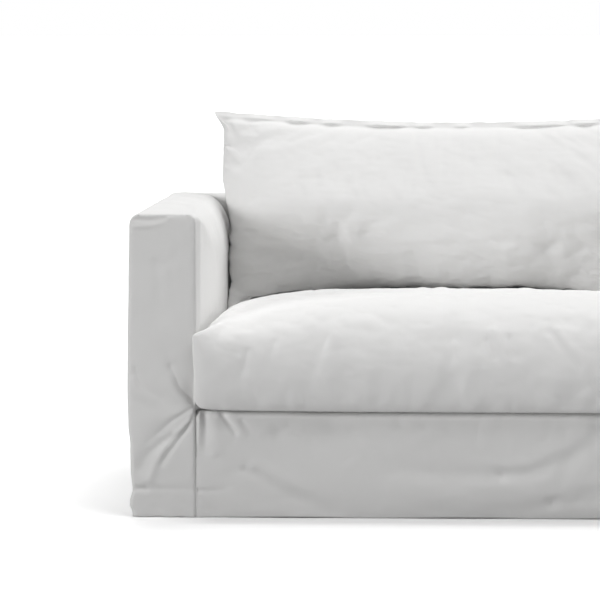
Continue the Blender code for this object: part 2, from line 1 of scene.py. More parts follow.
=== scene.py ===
"""The looks of a loose slipcover for a low two-seat sofa, with its two long cushions.

Every panel of the cover is a fine sheet on the form of its solid: a grid laid out by a
function of the sofa's sizes, creased by its table of folds, crumpled a little all over
and turned in along its seams. The cushions are filled bodies whose cloth is blown up and
puckered by a cloth simulation.

Sofa frame of the functions: x across, y back from the fronts of the arms, z up.
"""

import math
from collections import namedtuple

import bmesh
import bpy
import numpy as np
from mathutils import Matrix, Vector


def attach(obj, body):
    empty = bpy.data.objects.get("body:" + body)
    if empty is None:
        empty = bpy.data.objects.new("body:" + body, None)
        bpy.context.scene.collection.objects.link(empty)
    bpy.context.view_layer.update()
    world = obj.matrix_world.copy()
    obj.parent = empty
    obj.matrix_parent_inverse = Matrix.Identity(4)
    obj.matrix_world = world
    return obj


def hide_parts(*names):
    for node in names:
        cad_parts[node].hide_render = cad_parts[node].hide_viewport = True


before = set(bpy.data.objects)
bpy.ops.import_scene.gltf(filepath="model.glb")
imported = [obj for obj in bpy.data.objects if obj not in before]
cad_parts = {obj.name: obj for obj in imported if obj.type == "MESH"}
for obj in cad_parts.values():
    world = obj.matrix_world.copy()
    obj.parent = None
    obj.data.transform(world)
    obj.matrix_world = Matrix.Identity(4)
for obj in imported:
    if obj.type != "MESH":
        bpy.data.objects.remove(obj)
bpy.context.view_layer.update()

# ---------------------------------------------------------------- sizes, metres

SEAT_NOSE = -0.036        # front of the seat cushion, ahead of the arms' fronts

# Body cover
HALF_WIDTH = 0.706
DEPTH = 0.980
CENTRE_Y = (SEAT_NOSE + DEPTH + 0.003) / 2
ARM_TOP = 0.660
ARM_WIDE = 0.144
INNER_HALF = 0.5623       # from the centre line to an arm's inner side
RAIL_FACE = 0.830         # depth of the inside back
DECK_TOP = 0.233
CLOTH = 0.0016
ROOM = 0.002              # for the thickness of a neighbouring panel
GAP = 0.0003              # between panels sewn together
MITRE_GAP = 0.0010        # between the arm's and the back's, over the rail
SEAM_DROP = 0.0028        # how far a seam's edge lies behind the face
SEAM_ROUNDING = 0.005
SKIRT_SLACK = 0.005       # reach of a side seam's calm in the folds of the skirt
FRONT_SLACK = 0.006       # and of an arm front's seams in its folds
EDGE_RADIUS = 0.021
EDGE_LOW = ARM_TOP - EDGE_RADIUS   # where the rounded top edges start
FRONT_CORNER_RADIUS = 0.020
ROLL_RADIUS = 0.018       # of the skirt's turn on to the deck
ROLL_BACK = 0.080         # where the skirt ends and the deck starts
SKIRT_ON_DECK = 0.058
WAVE = 0.0021             # how far the loose sides swing in and out
SIDE_WAVES = 13.0         # radians of that in a metre along a side
BACK_WAVES = 9.0
CALM_FROM_CORNER = 0.06   # reach of a corner's or a top edge's calm in the folds
CALM_FROM_FRONT = 0.05
CALM_ON_BACK = 0.05
HEM_WAVES = 17.0
HEM_LIFT = 0.0009
HEM_TUCK = (0.004, 0.016)   # how far the skirt falls back at its hem, left and right
HEM_TUCK_TO = 0.085
TOP_SWELL = 0.003
SLACK_ACROSS = 0.066      # width and drop of an arm's inner top edge, loose at the back
SLACK_DOWN = 0.120
SLACK_FROM = 0.450        # depth from which it is as loose as that
INNER_ROLL = 0.0090       # how far an arm's inner side goes out behind its front seam
INNER_SWELL = 0.0120      # and from there to the rail
ROLL_DEPTH = 0.030
MITRE_INNER = INNER_HALF - INNER_ROLL - INNER_SWELL + SLACK_ACROSS
SEAM_REACH = 0.0045       # reach of the valley that a seam draws in the cloth
PUCKER_LONG = 0.011       # size, reach and height of the puckers beside a seam
PUCKER_REACH = 0.014
PUCKER_HEIGHT = 0.0007
PUCKER_START = 0.003      # over which they rise from the seam
RIM_INSET = 0.0012        # how far an arm front's edge stands back from the wrap's
ALLOWANCE = (0.0003, 0.0015, 0.006)   # how far a seam's turned-in edge goes, in steps
SKIRT_SEAM_DROP = 0.0003  # how far the seam of skirt and arm lies behind their faces
SKIRT_SEAM_TO = (0.205, 0.245)   # heights between which that seam ends

# Seat cushion
SEAT_REAR = 0.820
SEAT_HALF_NOSE = 0.5710
SEAT_HALF_FRONT = 0.5474
SEAT_HALF_REAR = 0.5370
PINCH_FROM = -0.0145
PINCH_RUN = 0.024
SEAT_BOTTOM = 0.2355
SEAT_TUCK = 0.015         # how far its front is drawn in at the bottom
SEAT_END_TUCK = 0.010     # and how far its ends are
SEAT_CORNER_LIFT = 0.004  # of its bottom edge at its two ends
SEAT_CORNER_ROUND = 0.015    # how far its upright corners are drawn in
SEAT_CELLS = (110, 76, 16)   # cells across, along and up
SEAT_ROWS_TO_ENDS = 0.35  # how much closer its cells are towards its ends
SEAT_ROWS_TO_NOSE = 1.15  # and towards its front
SEAT_LEVELS = ((0.0, 0.25, 0.5, 0.75, 1.0), (0.0, 0.14, 0.5, 0.86, 1.0))
SEAT_SEAM_MIDDLE = 0.340
SEAT_SEAM_END = 0.404
SEAT_SEAM_DROP = 0.028    # of the seam at its ends, from front to rear
SEAT_SEAM_SINKS = 0.008   # of its middle, under the softening
SEAT_CROWN = 0.4715
SEAT_CROWN_Y = 0.390
SEAT_END_SHAPE = (8.0, 1.0)
SEAT_SIDE_SHAPE = (4.5, 0.42)
SEAT_SEAM_LIFT = 5
SEAT_DIP = 0.0225         # fall of the top from the crown to where the back cushion rests
SEAT_DIP_RUN = 0.150
BAND_PUCKERS = (0.016, 0.05, 0.016)  # their size across, up and along the band's seam
BAND_PUCKER_HEIGHT = 0.0008
BAND_PUCKER_REACH = 0.020
BAND_PUCKERS_TO = 0.545   # from the middle, where the ends' corners start
RUCK_RUN = 0.070          # half length of the rucks over the crown

# Back cushion
BACK_HALF_LOW = 0.5395
BACK_HALF_HIGH = 0.5600
BACK_BOTTOM_Y = 0.695
BACK_LEAN = 0.331
BACK_TOP_MIDDLE = 0.8360
BACK_TOP_RISE = 0.0260
FLANGE = 0.016
FLANGE_FROM = 0.8667      # share of the cushion's rows below its flange
FLANGE_HALF = 0.0016
EAR_OUT = 0.0235
EAR_FROM = 0.895
BACK_SWELL_FRONT = 0.150
BACK_SWELL_REAR = 0.105
BACK_LEVEL = 0.15         # share of its height over which it turns from rising to falling
BACK_UPPER = (1.12, 0.42)   # powers of its upper slope
BACK_LOWER = (1.20, 0.40)   # powers of its lower bulge, at the middle
BACK_LOWER_SIDE = (0.88, 1.15)   # and towards its sides, where it is drawn in
BACK_DRAWN_IN = (0.05, 0.70)     # share of its half width where that starts, and its run
BACK_FULL_BELOW = 0.36
BACK_SAG = 0.022          # how far its sides would sink into the seat, which flattens them
BACK_STRETCH_BELOW = 0.2  # share of its half height below which it reaches into the dip
BACK_SIDE_BELOW = 0.2
BACK_SIDE_POWER = (6.0, 3.0)  # power by which it stays full until its sides, up and low
FLANGE_BACK = 0.010       # how far the flange leans back where nothing draws it forward
FLANGE_FORWARD = 1.1      # how much further than its table says it leans forward
BACK_WIDENS = (-0.15, 0.5)    # share of its half height where that starts, and its run
BACK_CELLS = (130, 66, 2)
BACK_ROWS_TO_ENDS = 0.45
BACK_ROWS_TO_SEAMS = 0.4
BACK_SOFTER = (0.68, 0.12)   # height below which it is more crumpled, and its run
REST_GAP = 0.004          # between the cushions, and before the rail

# ------------------------------------------------------------------ fold tables


def table(columns, *rows):
    """Rows with named columns."""
    row_of = namedtuple("row_of", columns)
    return [row_of(*row) for row in rows]


def creases(*rows):
    """A table of creases: width, height, crisp, fade, then the points of the route.

    A crease runs along its route, strongest at its start. It is a trough where its height
    is below zero and a ridge above. Crisp is from 0, rounded, to 1, with a sharp bottom,
    and fade is the share of its height lost on the way. Its sizes are in millimetres.
    """
    in_metres = [
        (np.array(route) / 1000.0, width / 1000.0, height / 1000.0, crisp, fade)
        for width, height, crisp, fade, *route in rows
    ]
    return table("route width height crisp fade", *in_metres)


# Fronts of the arms: x counts outwards from the seam with the inner side and skirt
ARM_FRONT_CREASES = {
    -1: creases(
        (130, 6, 0.0, 0.0, (80, 350), (80, 270)),
        (20, -9, 0.0, 0.7, (0, 262), (1, 320), (0, 390)),
        (5.5, -5, 0.8, 0.3, (0, 249), (33, 281), (43, 303), (56, 329)),
        (17, -5, 0.0, 0.7, (6, 262), (34, 312), (62, 345), (80, 376), (100, 420)),
        (10, 3, 0.0, 0.8, (4, 246), (36, 268), (58, 300), (70, 330)),
        (5.5, -4.2, 0.5, 0.6, (2, 242), (46, 215.5), (72, 193.5), (106, 164.5)),
        (9, -3.8, 0.1, 0.2, (50, 178), (88, 153), (107, 134), (121, 107)),
        (6, 4, 0.2, 0.4, (12, 213), (33, 193.5), (57, 167), (79, 134), (101, 83)),
        (4.6, -5, 0.7, 0.6, (4, 222), (21, 193), (36, 172), (60, 139), (76, 116)),
        (12, 2.5, 0.0, 0.5, (10, 232), (60, 222), (110, 214)),
        (5, -2.2, 0.5, 0.3, (130.6, 326), (124, 302), (109, 281), (89, 270), (74, 261)),
        (8, 1.8, 0.0, 0.3, (136, 300), (128, 280), (100, 262)),
        (5, -3.4, 0.4, 0.0, (134, 63.5), (110, 62.5)),
        (5, -1.6, 0.3, 0.4, (134, 62), (70, 63), (2, 62)),
        (5, -3.4, 0.0, 0.2, (131, 649.5), (98, 648.5), (66, 651)),
        (4.2, 1.6, 0.0, 0.3, (130, 633.5), (94, 635.6), (70, 644.4), (58, 650.9)),
        (10, -1.2, 0.0, 0.4, (88, 556), (78, 500), (72, 440)),
        (8, 1, 0.0, 0.4, (64, 540), (66, 470)),
        (5, 1.2, 0.0, 0.3, (139, 480), (137, 430)),
    ),
    1: creases(
        (130, 6, 0.0, 0.0, (80, 350), (80, 270)),
        (6, -4.8, 0.7, 0.4, (0, 249), (26, 276), (46, 312), (60, 350)),
        (18, -4.5, 0.0, 0.6, (6, 262), (40, 316), (70, 360), (104, 400)),
        (6, -4, 0.5, 0.6, (2, 241), (44, 219), (78, 204), (116, 190)),
        (9, -3.4, 0.1, 0.3, (46, 190), (84, 160), (110, 124)),
        (6.5, 3.6, 0.2, 0.4, (12, 212), (40, 180), (72, 140), (92, 94)),
        (5.5, -5.2, 0.7, 0.5, (4, 226), (20, 186), (40, 142), (64, 88)),
        (6, -2, 0.4, 0.3, (130, 340), (118, 306), (86, 280)),
        (5, -2, 0.3, 0.3, (134, 56), (70, 61), (2, 64)),
        (5.2, -2.8, 0.0, 0.3, (129, 648), (92, 650), (70, 650)),
        (11, -1.3, 0.0, 0.4, (80, 560), (86, 470), (78, 420)),
    ),
}

# Front skirt: x counts from the centre line
SKIRT_CREASES = creases(
    (4, 4.2, 0.2, 0.7, (-553.5, 236), (-554.5, 170)),
    (6, -6.2, 0.2, 0.6, (-544.2, 234), (-542.8, 195), (-543.6, 148)),
    (2.6, -2.2, 0.4, 0.3, (-523.6, 232.5), (-524, 221)),
    (10, 4, 0.0, 0.7, (-526, 238), (-520, 196), (-512, 150)),
    (4, -5.6, 0.6, 0.3, (-507, 232), (-497, 215), (-486.1, 200), (-477, 186)),
    (8, 2.8, 0.0, 0.5, (-493, 234), (-480, 212), (-464, 185)),
    (5, -2.4, 0.3, 0.5, (-461, 212), (-444, 184)),
    (16, -3, 0.0, 0.4, (-380, 186), (-320, 181), (-230, 190)),
    (11, -2.3, 0.0, 0.1, (-456, 104), (-419, 91), (-379, 64), (-335, 44), (-270, 20)),
    (14, 2.6, 0.0, 0.3, (-430, 116), (-375, 84), (-320, 62)),
    (6, -2.2, 0.3, 0.5, (-560, 60), (-521, 60), (-484, 70)),
    (16, -3.4, 0.0, 0.5, (100, 98.5), (54.7, 97), (-31.9, 98.7), (-107.8, 111), (-160, 122)),
    (14, -3.6, 0.0, 0.2, (100, 98.5), (162.8, 104.4), (201.6, 122), (249, 138), (281.1, 162),
     (302.5, 184), (315, 210)),
    (15, 2.2, 0.0, 0.4, (110, 114), (165, 122), (210, 144), (256, 166), (290, 196)),
    (14, -3, 0.0, 0.4, (210, 36), (160, 24), (90, 11)),
    (15, -3, 0.0, 0.5, (210, 36), (260, 48), (314, 54.5), (380, 66)),
    (4.2, 4, 0.2, 0.7, (553, 236), (553, 165)),
    (4, -5, 0.4, 0.6, (544, 231), (541, 190), (542, 140)),
    (7, 4.2, 0.1, 0.7, (530, 236), (525, 185)),
    (4.8, -5.4, 0.5, 0.4, (512, 231), (499, 204), (482, 170)),
    (8, 2.6, 0.0, 0.5, (498, 234), (480, 204), (460, 172)),
    (6, -2.6, 0.3, 0.5, (470, 216), (448, 176)),
    (10, -3.2, 0.2, 0.3, (446, 90), (490, 62), (556, 50)),
)

# Outer sides of the arms: x counts back from the fronts of the arms
SIDE_CREASES = {
    -1: creases(
        (30, -4.2, 0.1, 0.5, (20, 180), (160, 132), (300, 120)),
        (30, -5.4, 0.2, 0.6, (940, 560), (860, 380), (700, 210)),
        (36, -4.2, 0.1, 0.6, (520, 630), (500, 460), (460, 300)),
        (20, -5, 0.2, 0.3, (600, 60), (780, 82), (930, 110)),
        (32, 4, 0.0, 0.5, (300, 420), (180, 370), (80, 300)),
        (16, -3.6, 0.5, 0.6, (960, 600), (900, 470), (860, 330)),
        (20, -2.6, 0.3, 0.6, (80, 610), (110, 500), (100, 380)),
    ),
    1: creases(
        (30, -4.2, 0.1, 0.5, (20, 200), (190, 170), (360, 140)),
        (28, -5.4, 0.2, 0.6, (930, 600), (880, 420), (780, 260)),
        (34, -4.2, 0.1, 0.6, (380, 630), (390, 440), (420, 260)),
        (22, -5, 0.2, 0.3, (500, 80), (700, 78), (900, 60)),
        (36, 4, 0.0, 0.5, (620, 450), (600, 330), (560, 200)),
        (16, -3.4, 0.5, 0.6, (955, 500), (910, 360), (890, 220)),
    ),
}

# Outside back: x counts from the centre line
OUTSIDE_BACK_CREASES = creases(
    (36, -6.2, 0.2, 0.5, (-660, 610), (-540, 420), (-380, 220)),
    (32, -6.2, 0.2, 0.5, (660, 590), (580, 400), (460, 240)),
    (45, -4, 0.0, 0.6, (-150, 630), (-140, 440), (-100, 250)),
    (40, 4, 0.0, 0.6, (260, 620), (230, 460), (200, 300)),
    (24, -5, 0.2, 0.4, (-500, 70), (-220, 88), (60, 90)),
    (20, -4, 0.2, 0.4, (560, 60), (380, 74), (200, 70)),
    (14, -4, 0.5, 0.6, (-690, 560), (-620, 440), (-580, 320)),
    (14, -3.8, 0.5, 0.6, (690, 520), (640, 400), (620, 280)),
)

# Front and top of the seat cushion: x counts from the centre line, z is the height
SEAT_CREASES = creases(
    (5, -3.6, 0.3, 0.3, (-448.6, 369), (-457.4, 325)),
    (6, -2.8, 0.1, 0.4, (-390.3, 386), (-403.3, 336)),
    (7, -3.6, 0.1, 0.5, (-280.3, 392), (-301.8, 336)),
    (8, 2.5, 0.0, 0.4, (-264, 400), (-270, 352)),
    (5, 2.5, 0.1, 0.4, (-1, 384), (8, 352)),
    (5, -2.1, 0.2, 0.4, (-12, 386), (-2, 356)),
    (4.4, -4.5, 0.5, 0.3, (68, 394), (86, 356)),
    (7, 3.9, 0.1, 0.2, (80, 412), (96, 384), (112, 350)),
    (5, -3.6, 0.3, 0.4, (113, 398), (126, 356)),
    (7, 3.6, 0.1, 0.3, (218, 414), (241.6, 383), (280.4, 342)),
    (6, -3.1, 0.3, 0.3, (202, 410), (230, 376), (264, 338)),
    (6, -3.6, 0.3, 0.4, (376, 394), (386, 348)),
    (5.6, -3.6, 0.3, 0.4, (470, 380), (456, 334)),
)

# Face of the back cushion: x counts from the centre line, z is the height
BACK_CREASES = creases(
    (26, -10, 0.0, 0.3, (-500, 815), (-498, 740), (-502, 660), (-505, 600)),
    (24, -7, 0.0, 0.3, (500, 800), (502, 700), (505, 600)),
    (48, 9, 0.0, 0.8, (-500, 602), (-260, 598)),
    (16, -4.2, 0.2, 0.5, (-548, 586), (-490, 580), (-400, 556)),
    (6, 3, 0.2, 0.6, (-544, 566), (-500, 562), (-430, 566)),
    (6, -3, 0.4, 0.6, (-542, 548), (-510, 538), (-450, 536)),
    (5, 2.8, 0.3, 0.5, (-540, 520), (-515, 516)),
    (12, -4, 0.2, 0.5, (-538, 500), (-490, 478), (-440, 470)),
    (5, 3, 0.3, 0.5, (-540, 440), (-510, 428)),
    (5.5, -1.8, 0.4, 0.3, (-430, 600), (-300, 572), (-160, 566)),
    (6, 2.8, 0.4, 0.4, (-495, 584), (-450, 577), (-390, 580)),
    (6, 2.5, 0.4, 0.4, (-480, 566), (-420, 561), (-360, 566)),
    (6, 2.6, 0.4, 0.4, (-290, 606), (-220, 612), (-150, 620)),
    (6, -2.4, 0.4, 0.4, (-240, 586), (-160, 582), (-80, 588)),
    (6, 2.7, 0.3, 0.4, (-220, 541), (-170, 538), (-110, 544)),
    (7, -3.2, 0.3, 0.4, (-240, 512), (-170, 504), (-70, 500)),
    (5, -1.8, 0.4, 0.3, (-470, 578), (-360, 560), (-190, 552), (-20, 560)),
    (5, 1.7, 0.3, 0.3, (-320, 600), (-220, 592), (-140, 604)),
    (11, -3.8, 0.0, 0.4, (-330, 560), (-326, 510), (-338, 470)),
    (12, 2.4, 0.0, 0.4, (-296, 548), (-300, 500)),
    (10, -3, 0.0, 0.4, (-262, 540), (-260, 490)),
    (6, -1, 0.4, 0.3, (-10, 560), (130, 566), (260, 556)),
    (18, -4, 0.1, 0.5, (360, 560), (310, 540), (230, 520)),
    (14, -2.6, 0.1, 0.4, (350, 670), (320, 640)),
    (16, -4, 0.2, 0.5, (540, 600), (460, 590), (380, 560)),
    (13, -3.6, 0.2, 0.5, (536, 520), (470, 500), (420, 480)),
    (6, 2.8, 0.2, 0.5, (538, 556), (490, 548)),
    (12, -9, 0.2, 0.4, (-556, 838), (-542, 818), (-530, 790)),
    (6, -4.5, 0.3, 0.5, (-556, 784), (-540, 780), (-520, 772)),
    (3.6, 2.6, 0.3, 0.4, (-554, 776), (-538, 772), (-524, 778)),
    (9, -3, 0.2, 0.4, (-552, 760), (-525, 740)),
    (5, 2.4, 0.3, 0.4, (-552, 730), (-530, 724)),
    (6, -2.2, 0.3, 0.4, (-552, 690), (-533, 690)),
    (11, -3.2, 0.2, 0.4, (552, 760), (520, 735)),
    (6, 2.4, 0.3, 0.4, (552, 700), (528, 690)),
)

# Small rucks over the crown of the seat cushion
RUCK_SLANT = 0.30
SEAT_RUCKS = table(
    "across half height",
    (-0.318, 0.0060, -0.0022),
    (-0.071, 0.0070, 0.0030),
    (-0.030, 0.0085, 0.0032),
    (0.160, 0.0110, 0.0026),
    (0.340, 0.0120, 0.0024),
)

# Crumples of the cushions from coarse to fine: their height, on the back cushion in its
# upper and lower part, with how much closer they lie across and up
SEAT_RUMPLES = table(
    "size height seed",
    (0.085, 0.0022, 33),
    (0.036, 0.0011, 36),
    (0.015, 0.0004, 38),
)
BACK_RUMPLES = table(
    "size upper lower across up seed",
    (0.110, 0.0024, 0.0100, 1.0, 1.3, 41),
    (0.045, 0.0008, 0.0040, 0.8, 1.4, 44),
    (0.020, 0.0003, 0.0012, 0.6, 1.8, 46),
)

# Waves along the flange's edge
FLANGE_WAVES = table(
    "size height shift seed",
    (0.034, 0.0024, 4.0, 53),
    (0.012, 0.0010, 2.0, 55),
)

# How far an arm's outer side stands out of the line of its top edge at each height
SIDE_LINE = table(
    "height out",
    (0.000, -0.0040),
    (0.010, -0.0038),
    (0.026, 0.0022),
    (0.036, 0.0016),
    (0.060, -0.0040),
    (0.100, -0.0005),
    (0.155, 0.0005),
    (0.200, 0.0045),
    (0.270, 0.0060),
    (0.400, 0.0048),
    (0.500, 0.0028),
    (0.640, 0.0006),
)

# Where the back cushion's flange leans forward of its seam, and how far
FLANGE_LEANS = table(
    "across half lean",
    (-0.470, 0.030, 0.007),
    (-0.382, 0.026, 0.015),
    (-0.301, 0.020, 0.012),
    (-0.168, 0.044, 0.019),
    (-0.082, 0.020, 0.012),
    (0.012, 0.012, 0.012),
    (0.202, 0.055, 0.014),
    (0.308, 0.024, 0.017),
    (0.410, 0.040, 0.012),
    (0.480, 0.020, 0.015),
)

# ------------------------------------------------------------- shared functions


def clamp(value, low=0.0, high=1.0):
    return np.clip(value, low, high)


def blend(start, end, share):
    return start + (end - start) * share


def ease(share):
    """A share from 0 to 1 with a level start and finish."""
    share = clamp(share)
    return share * share * (3.0 - 2.0 * share)


def along_table(rows, height):
    """How far out a table says at some heights, eased between its rows."""
    heights = np.array([row.height for row in rows])
    outs = np.array([row.out for row in rows])
    above = clamp(np.searchsorted(heights, height), 1, len(rows) - 1)
    share = (height - heights[above - 1]) / (heights[above] - heights[above - 1])
    return blend(outs[above - 1], outs[above], ease(share))


def noise(x, y, seed):
    """Smooth noise from about -1 to 1, with features one unit apart."""
    cells = 64
    turns = np.random.default_rng(seed).random((cells, cells)) * 2.0 * math.pi
    left = np.floor(x).astype(int)
    low = np.floor(y).astype(int)
    total = np.zeros(np.broadcast(x, y).shape)
    for step_x in (0, 1):
        for step_y in (0, 1):
            turn = turns[(left + step_x) % cells, (low + step_y) % cells]
            from_x = x - left - step_x
            from_y = y - low - step_y
            weight_x = fade(1.0 - np.abs(from_x))
            weight_y = fade(1.0 - np.abs(from_y))
            total += (np.cos(turn) * from_x + np.sin(turn) * from_y) * weight_x * weight_y
    return 1.5 * total


def fade(share):
    return share**3 * (share * (share * 6.0 - 15.0) + 10.0)


def crumple(x, y, size, seed):
    """Soft dents with a few sharper lines between them, from about -1 to 1."""
    warp = 0.45 * noise(x / size * 0.6 + 7.3, y / size * 0.6, seed + 1)
    broad = noise(x / size + warp, y / size - warp, seed)
    fine = noise(x / size * 2.3 - warp, y / size * 2.3 + 3.1, seed + 2)
    return 0.8 * broad + 0.25 * fine - 0.5 * (np.sqrt(broad**2 + 0.004) - 0.28)


def route_points(route, count=24):
    """A smooth curve through a crease's points."""
    points = np.array([route[0], *route, route[-1]], float)
    spans = len(route) - 1
    made = []
    for position in np.linspace(0.0, spans, count):
        span = min(int(position), spans - 1)
        share = position - span
        before, start, end, after = points[span : span + 4]
        slope = (end - before) * share * (1.0 - share) ** 2
        slope -= (after - start) * share**2 * (1.0 - share)
        made.append(blend(start, end, share**2 * (3.0 - 2.0 * share)) + 0.5 * slope)
    return np.array(made)


CREASE_REACH = 4.0        # widths from its line where a crease has died away
CREASE_WIDENS = 0.8       # from its start to its end
CREASE_TIP = 0.2          # widths over which a crisp one's ridge is rounded
CREASE_SLOPE = 0.62       # widths over which its flanks fall away


def crease_height(rows, across, up):
    """Height of a panel's face over its plain form, from its table of creases."""
    across, up = np.broadcast_arrays(across, up)
    total = np.zeros(across.shape)
    for crease in rows:
        curve = route_points(crease.route)
        reach = crease.width * CREASE_REACH
        near = (across > curve[:, 0].min() - reach) & (across < curve[:, 0].max() + reach)
        near &= (up > curve[:, 1].min() - reach) & (up < curve[:, 1].max() + reach)
        if not near.any():
            continue
        here = np.stack([across[near], up[near]], -1)
        best = np.full(len(here), 1e9)
        place = np.zeros(len(here))
        for index, (start, end) in enumerate(zip(curve, curve[1:])):
            run = end - start
            share = clamp(((here - start) @ run) / (run @ run))
            offset = here - start - share[:, None] * run
            distance = (offset**2).sum(-1)
            closer = distance < best
            best[closer] = distance[closer]
            place[closer] = (index + share[closer]) / (len(curve) - 1)
        width = crease.width * (1.0 + CREASE_WIDENS * place)
        rounded_off = np.exp(-best / width**2)
        tip = CREASE_TIP * width
        sharp = np.exp(-(np.sqrt(best + tip**2) - tip) / (CREASE_SLOPE * width))
        shape = blend(rounded_off, sharp, crease.crisp)
        total[near] += crease.height * (1.0 - crease.fade * place) * shape
    return total


# --------------------------------------------------------- surfaces of the cover


def side_out(side, depth, height):
    """Distance of an arm's outer side from the centre line."""
    calm = ease((DEPTH - depth) / CALM_FROM_CORNER)
    hang = along_table(SIDE_LINE, height) * blend(0.5, 1.0, ease(1.0 - depth / 0.4))
    wave = WAVE * np.sin(depth * SIDE_WAVES + 2.0 * side) * np.sin(math.pi * height / ARM_TOP)
    folds = crease_height(SIDE_CREASES[side], depth, height) * ease(depth / CALM_FROM_FRONT)
    slack = ease((EDGE_LOW - height) / CALM_FROM_CORNER)
    return HALF_WIDTH + hang + (wave * ease(depth / 0.08) + folds) * calm * slack


def back_out(across, height):
    """Depth of the outside back."""
    calm = ease((HALF_WIDTH - np.abs(across)) / CALM_ON_BACK)
    slack = ease((EDGE_LOW - height) / CALM_FROM_CORNER)
    hang = along_table(SIDE_LINE, height) * 0.5
    wave = WAVE * np.sin(across * BACK_WAVES + 0.6) * np.sin(math.pi * height / ARM_TOP)
    folds = crease_height(OUTSIDE_BACK_CREASES, across, height)
    return DEPTH + hang * slack + (wave + folds) * calm * slack


def hem_height(place_along):
    """The hem falls to the floor, a little short of it here and there."""
    return HEM_LIFT * (1.0 + np.sin(place_along * HEM_WAVES + 1.3))


def inner_half(depth):
    """Distance of an arm's inner side from the centre line."""
    roll = ease((depth - SEAM_DROP) / ROLL_DEPTH)
    return INNER_HALF - INNER_ROLL * roll - INNER_SWELL * ease(depth / RAIL_FACE)


def inner_edge_radii(depth):
    """Width and drop of an arm's rounded inner top edge."""
    slack = ease(depth / SLACK_FROM)
    across = blend(FRONT_CORNER_RADIUS, SLACK_ACROSS, slack)
    return across, blend(FRONT_CORNER_RADIUS, SLACK_DOWN, slack)


def rail_face(height):
    """Depth of the inside back, which curves back into the top of the rail."""
    above = clamp(height - EDGE_LOW, 0.0, EDGE_RADIUS)
    return RAIL_FACE + EDGE_RADIUS - np.sqrt(EDGE_RADIUS**2 - above**2)


def mitre_depth(across):
    """Depth of the seam over the arm and the rail, for a distance from the centre."""
    from_side = HALF_WIDTH - across
    share = (from_side - EDGE_RADIUS) / (HALF_WIDTH - MITRE_INNER - EDGE_RADIUS)
    slanted = blend(DEPTH - EDGE_RADIUS, RAIL_FACE + EDGE_RADIUS, share)
    return np.where(from_side < EDGE_RADIUS, DEPTH - from_side, slanted)


def mitre_across(depth):
    """The same seam, as a distance from the centre for a depth."""
    from_back = DEPTH - depth
    share = (from_back - EDGE_RADIUS) / (DEPTH - RAIL_FACE - 2.0 * EDGE_RADIUS)
    slanted = blend(HALF_WIDTH - EDGE_RADIUS, MITRE_INNER, share)
    return np.where(from_back < EDGE_RADIUS, HALF_WIDTH - from_back, slanted)


def arm_reach(height):
    """Distance from the centre of an arm's inner side where it meets the back."""
    slack_across, slack_down = inner_edge_radii(RAIL_FACE)
    above = clamp((height - (ARM_TOP - slack_down)) / slack_down)
    return inner_half(RAIL_FACE) + slack_across * (1.0 - np.sqrt(1.0 - above**2))


# ----------------------------------------------------------- making a cloth panel

NEAR_SEAM = (0.0, 0.0003, 0.0009, 0.0019, 0.0034, 0.0055, 0.0082)
ROUND_EDGE = 0.033        # length of cloth over a rounded top edge
ARM_WRAP_RUNS = (0.639, ROUND_EDGE, 0.090, 0.120, 0.330)

# Spacing of each panel's lines, along its strip and over it
ARM_WRAP_STEPS = (0.0062, 0.0066)
ARM_FRONT_STEPS = (0.0031, 0.0030)
SKIRT_STEPS = (0.0034, 0.0038)
BACK_STEPS = (0.0070, 0.0088)


def stations(lengths, step, fine_start=True, fine_end=True):
    """Shares of each stretch at which a panel's lines lie, closer beside its seams."""
    total = sum(lengths)
    start = NEAR_SEAM if fine_start else (0.0,)
    end = NEAR_SEAM if fine_end else (0.0,)
    count = max(2, round((total - start[-1] - end[-1]) / step))
    middle = np.linspace(start[-1], total - end[-1], count + 1)[1:-1]
    places = np.concatenate([start, middle, [total - near for near in reversed(end)]])
    shares = []
    begin = 0.0
    for index, length in enumerate(lengths):
        last = index == len(lengths) - 1
        inside = (places >= begin - 1e-9) & ((places < begin + length - 1e-9) | last)
        shares.append(clamp((places[inside] - begin) / length))
        begin += length
    return shares


def unit(vectors):
    return vectors / (np.linalg.norm(vectors, axis=-1, keepdims=True) + 1e-12)


def face_normals(points, inside):
    """Unit normals of a grid of points away from a point inside, and if they turned."""
    normals = unit(np.cross(np.gradient(points, axis=1), np.gradient(points, axis=0)))
    outwards = (normals * (points - np.array(inside))).sum(-1).mean()
    return normals * math.copysign(1.0, outwards), outwards < 0.0


def from_edges(points, edges):
    """Distance along the cloth of each of a grid's points from the nearest edge."""
    steps_along = np.linalg.norm(np.diff(points, axis=1), axis=-1)
    steps_over = np.linalg.norm(np.diff(points, axis=0), axis=-1)
    along = np.pad(steps_along.cumsum(1), ((0, 0), (1, 0)))
    over = np.pad(steps_over.cumsum(0), ((1, 0), (0, 0)))
    distances = {
        "foot": along,
        "head": along[:, -1:] - along,
        "first": over,
        "last": over[-1:] - over,
        "none": np.full(along.shape, 1.0),
    }
    return np.minimum.reduce([distances[edge] for edge in (*edges, "none")])


def turn_in(grid, normals, edge):
    """Lines added to a grid at a seam, where the cloth is turned to the inside."""
    axis = 1 if edge in ("foot", "head") else 0
    backwards = edge in ("head", "last")
    if backwards:
        grid, normals = np.flip(grid, axis), np.flip(normals, axis)
    rim = np.take(grid, 0, axis)
    facing = np.take(normals, 5, axis)
    away = unit(np.take(grid, 4, axis) - rim)
    added = [rim + (away - facing) * reach for reach in reversed(ALLOWANCE)]
    grid = np.concatenate([np.stack(added, axis), grid], axis)
    normals = np.concatenate([np.stack([facing] * len(added), axis), normals], axis)
    if backwards:
        grid, normals = np.flip(grid, axis), np.flip(normals, axis)
    return grid, normals


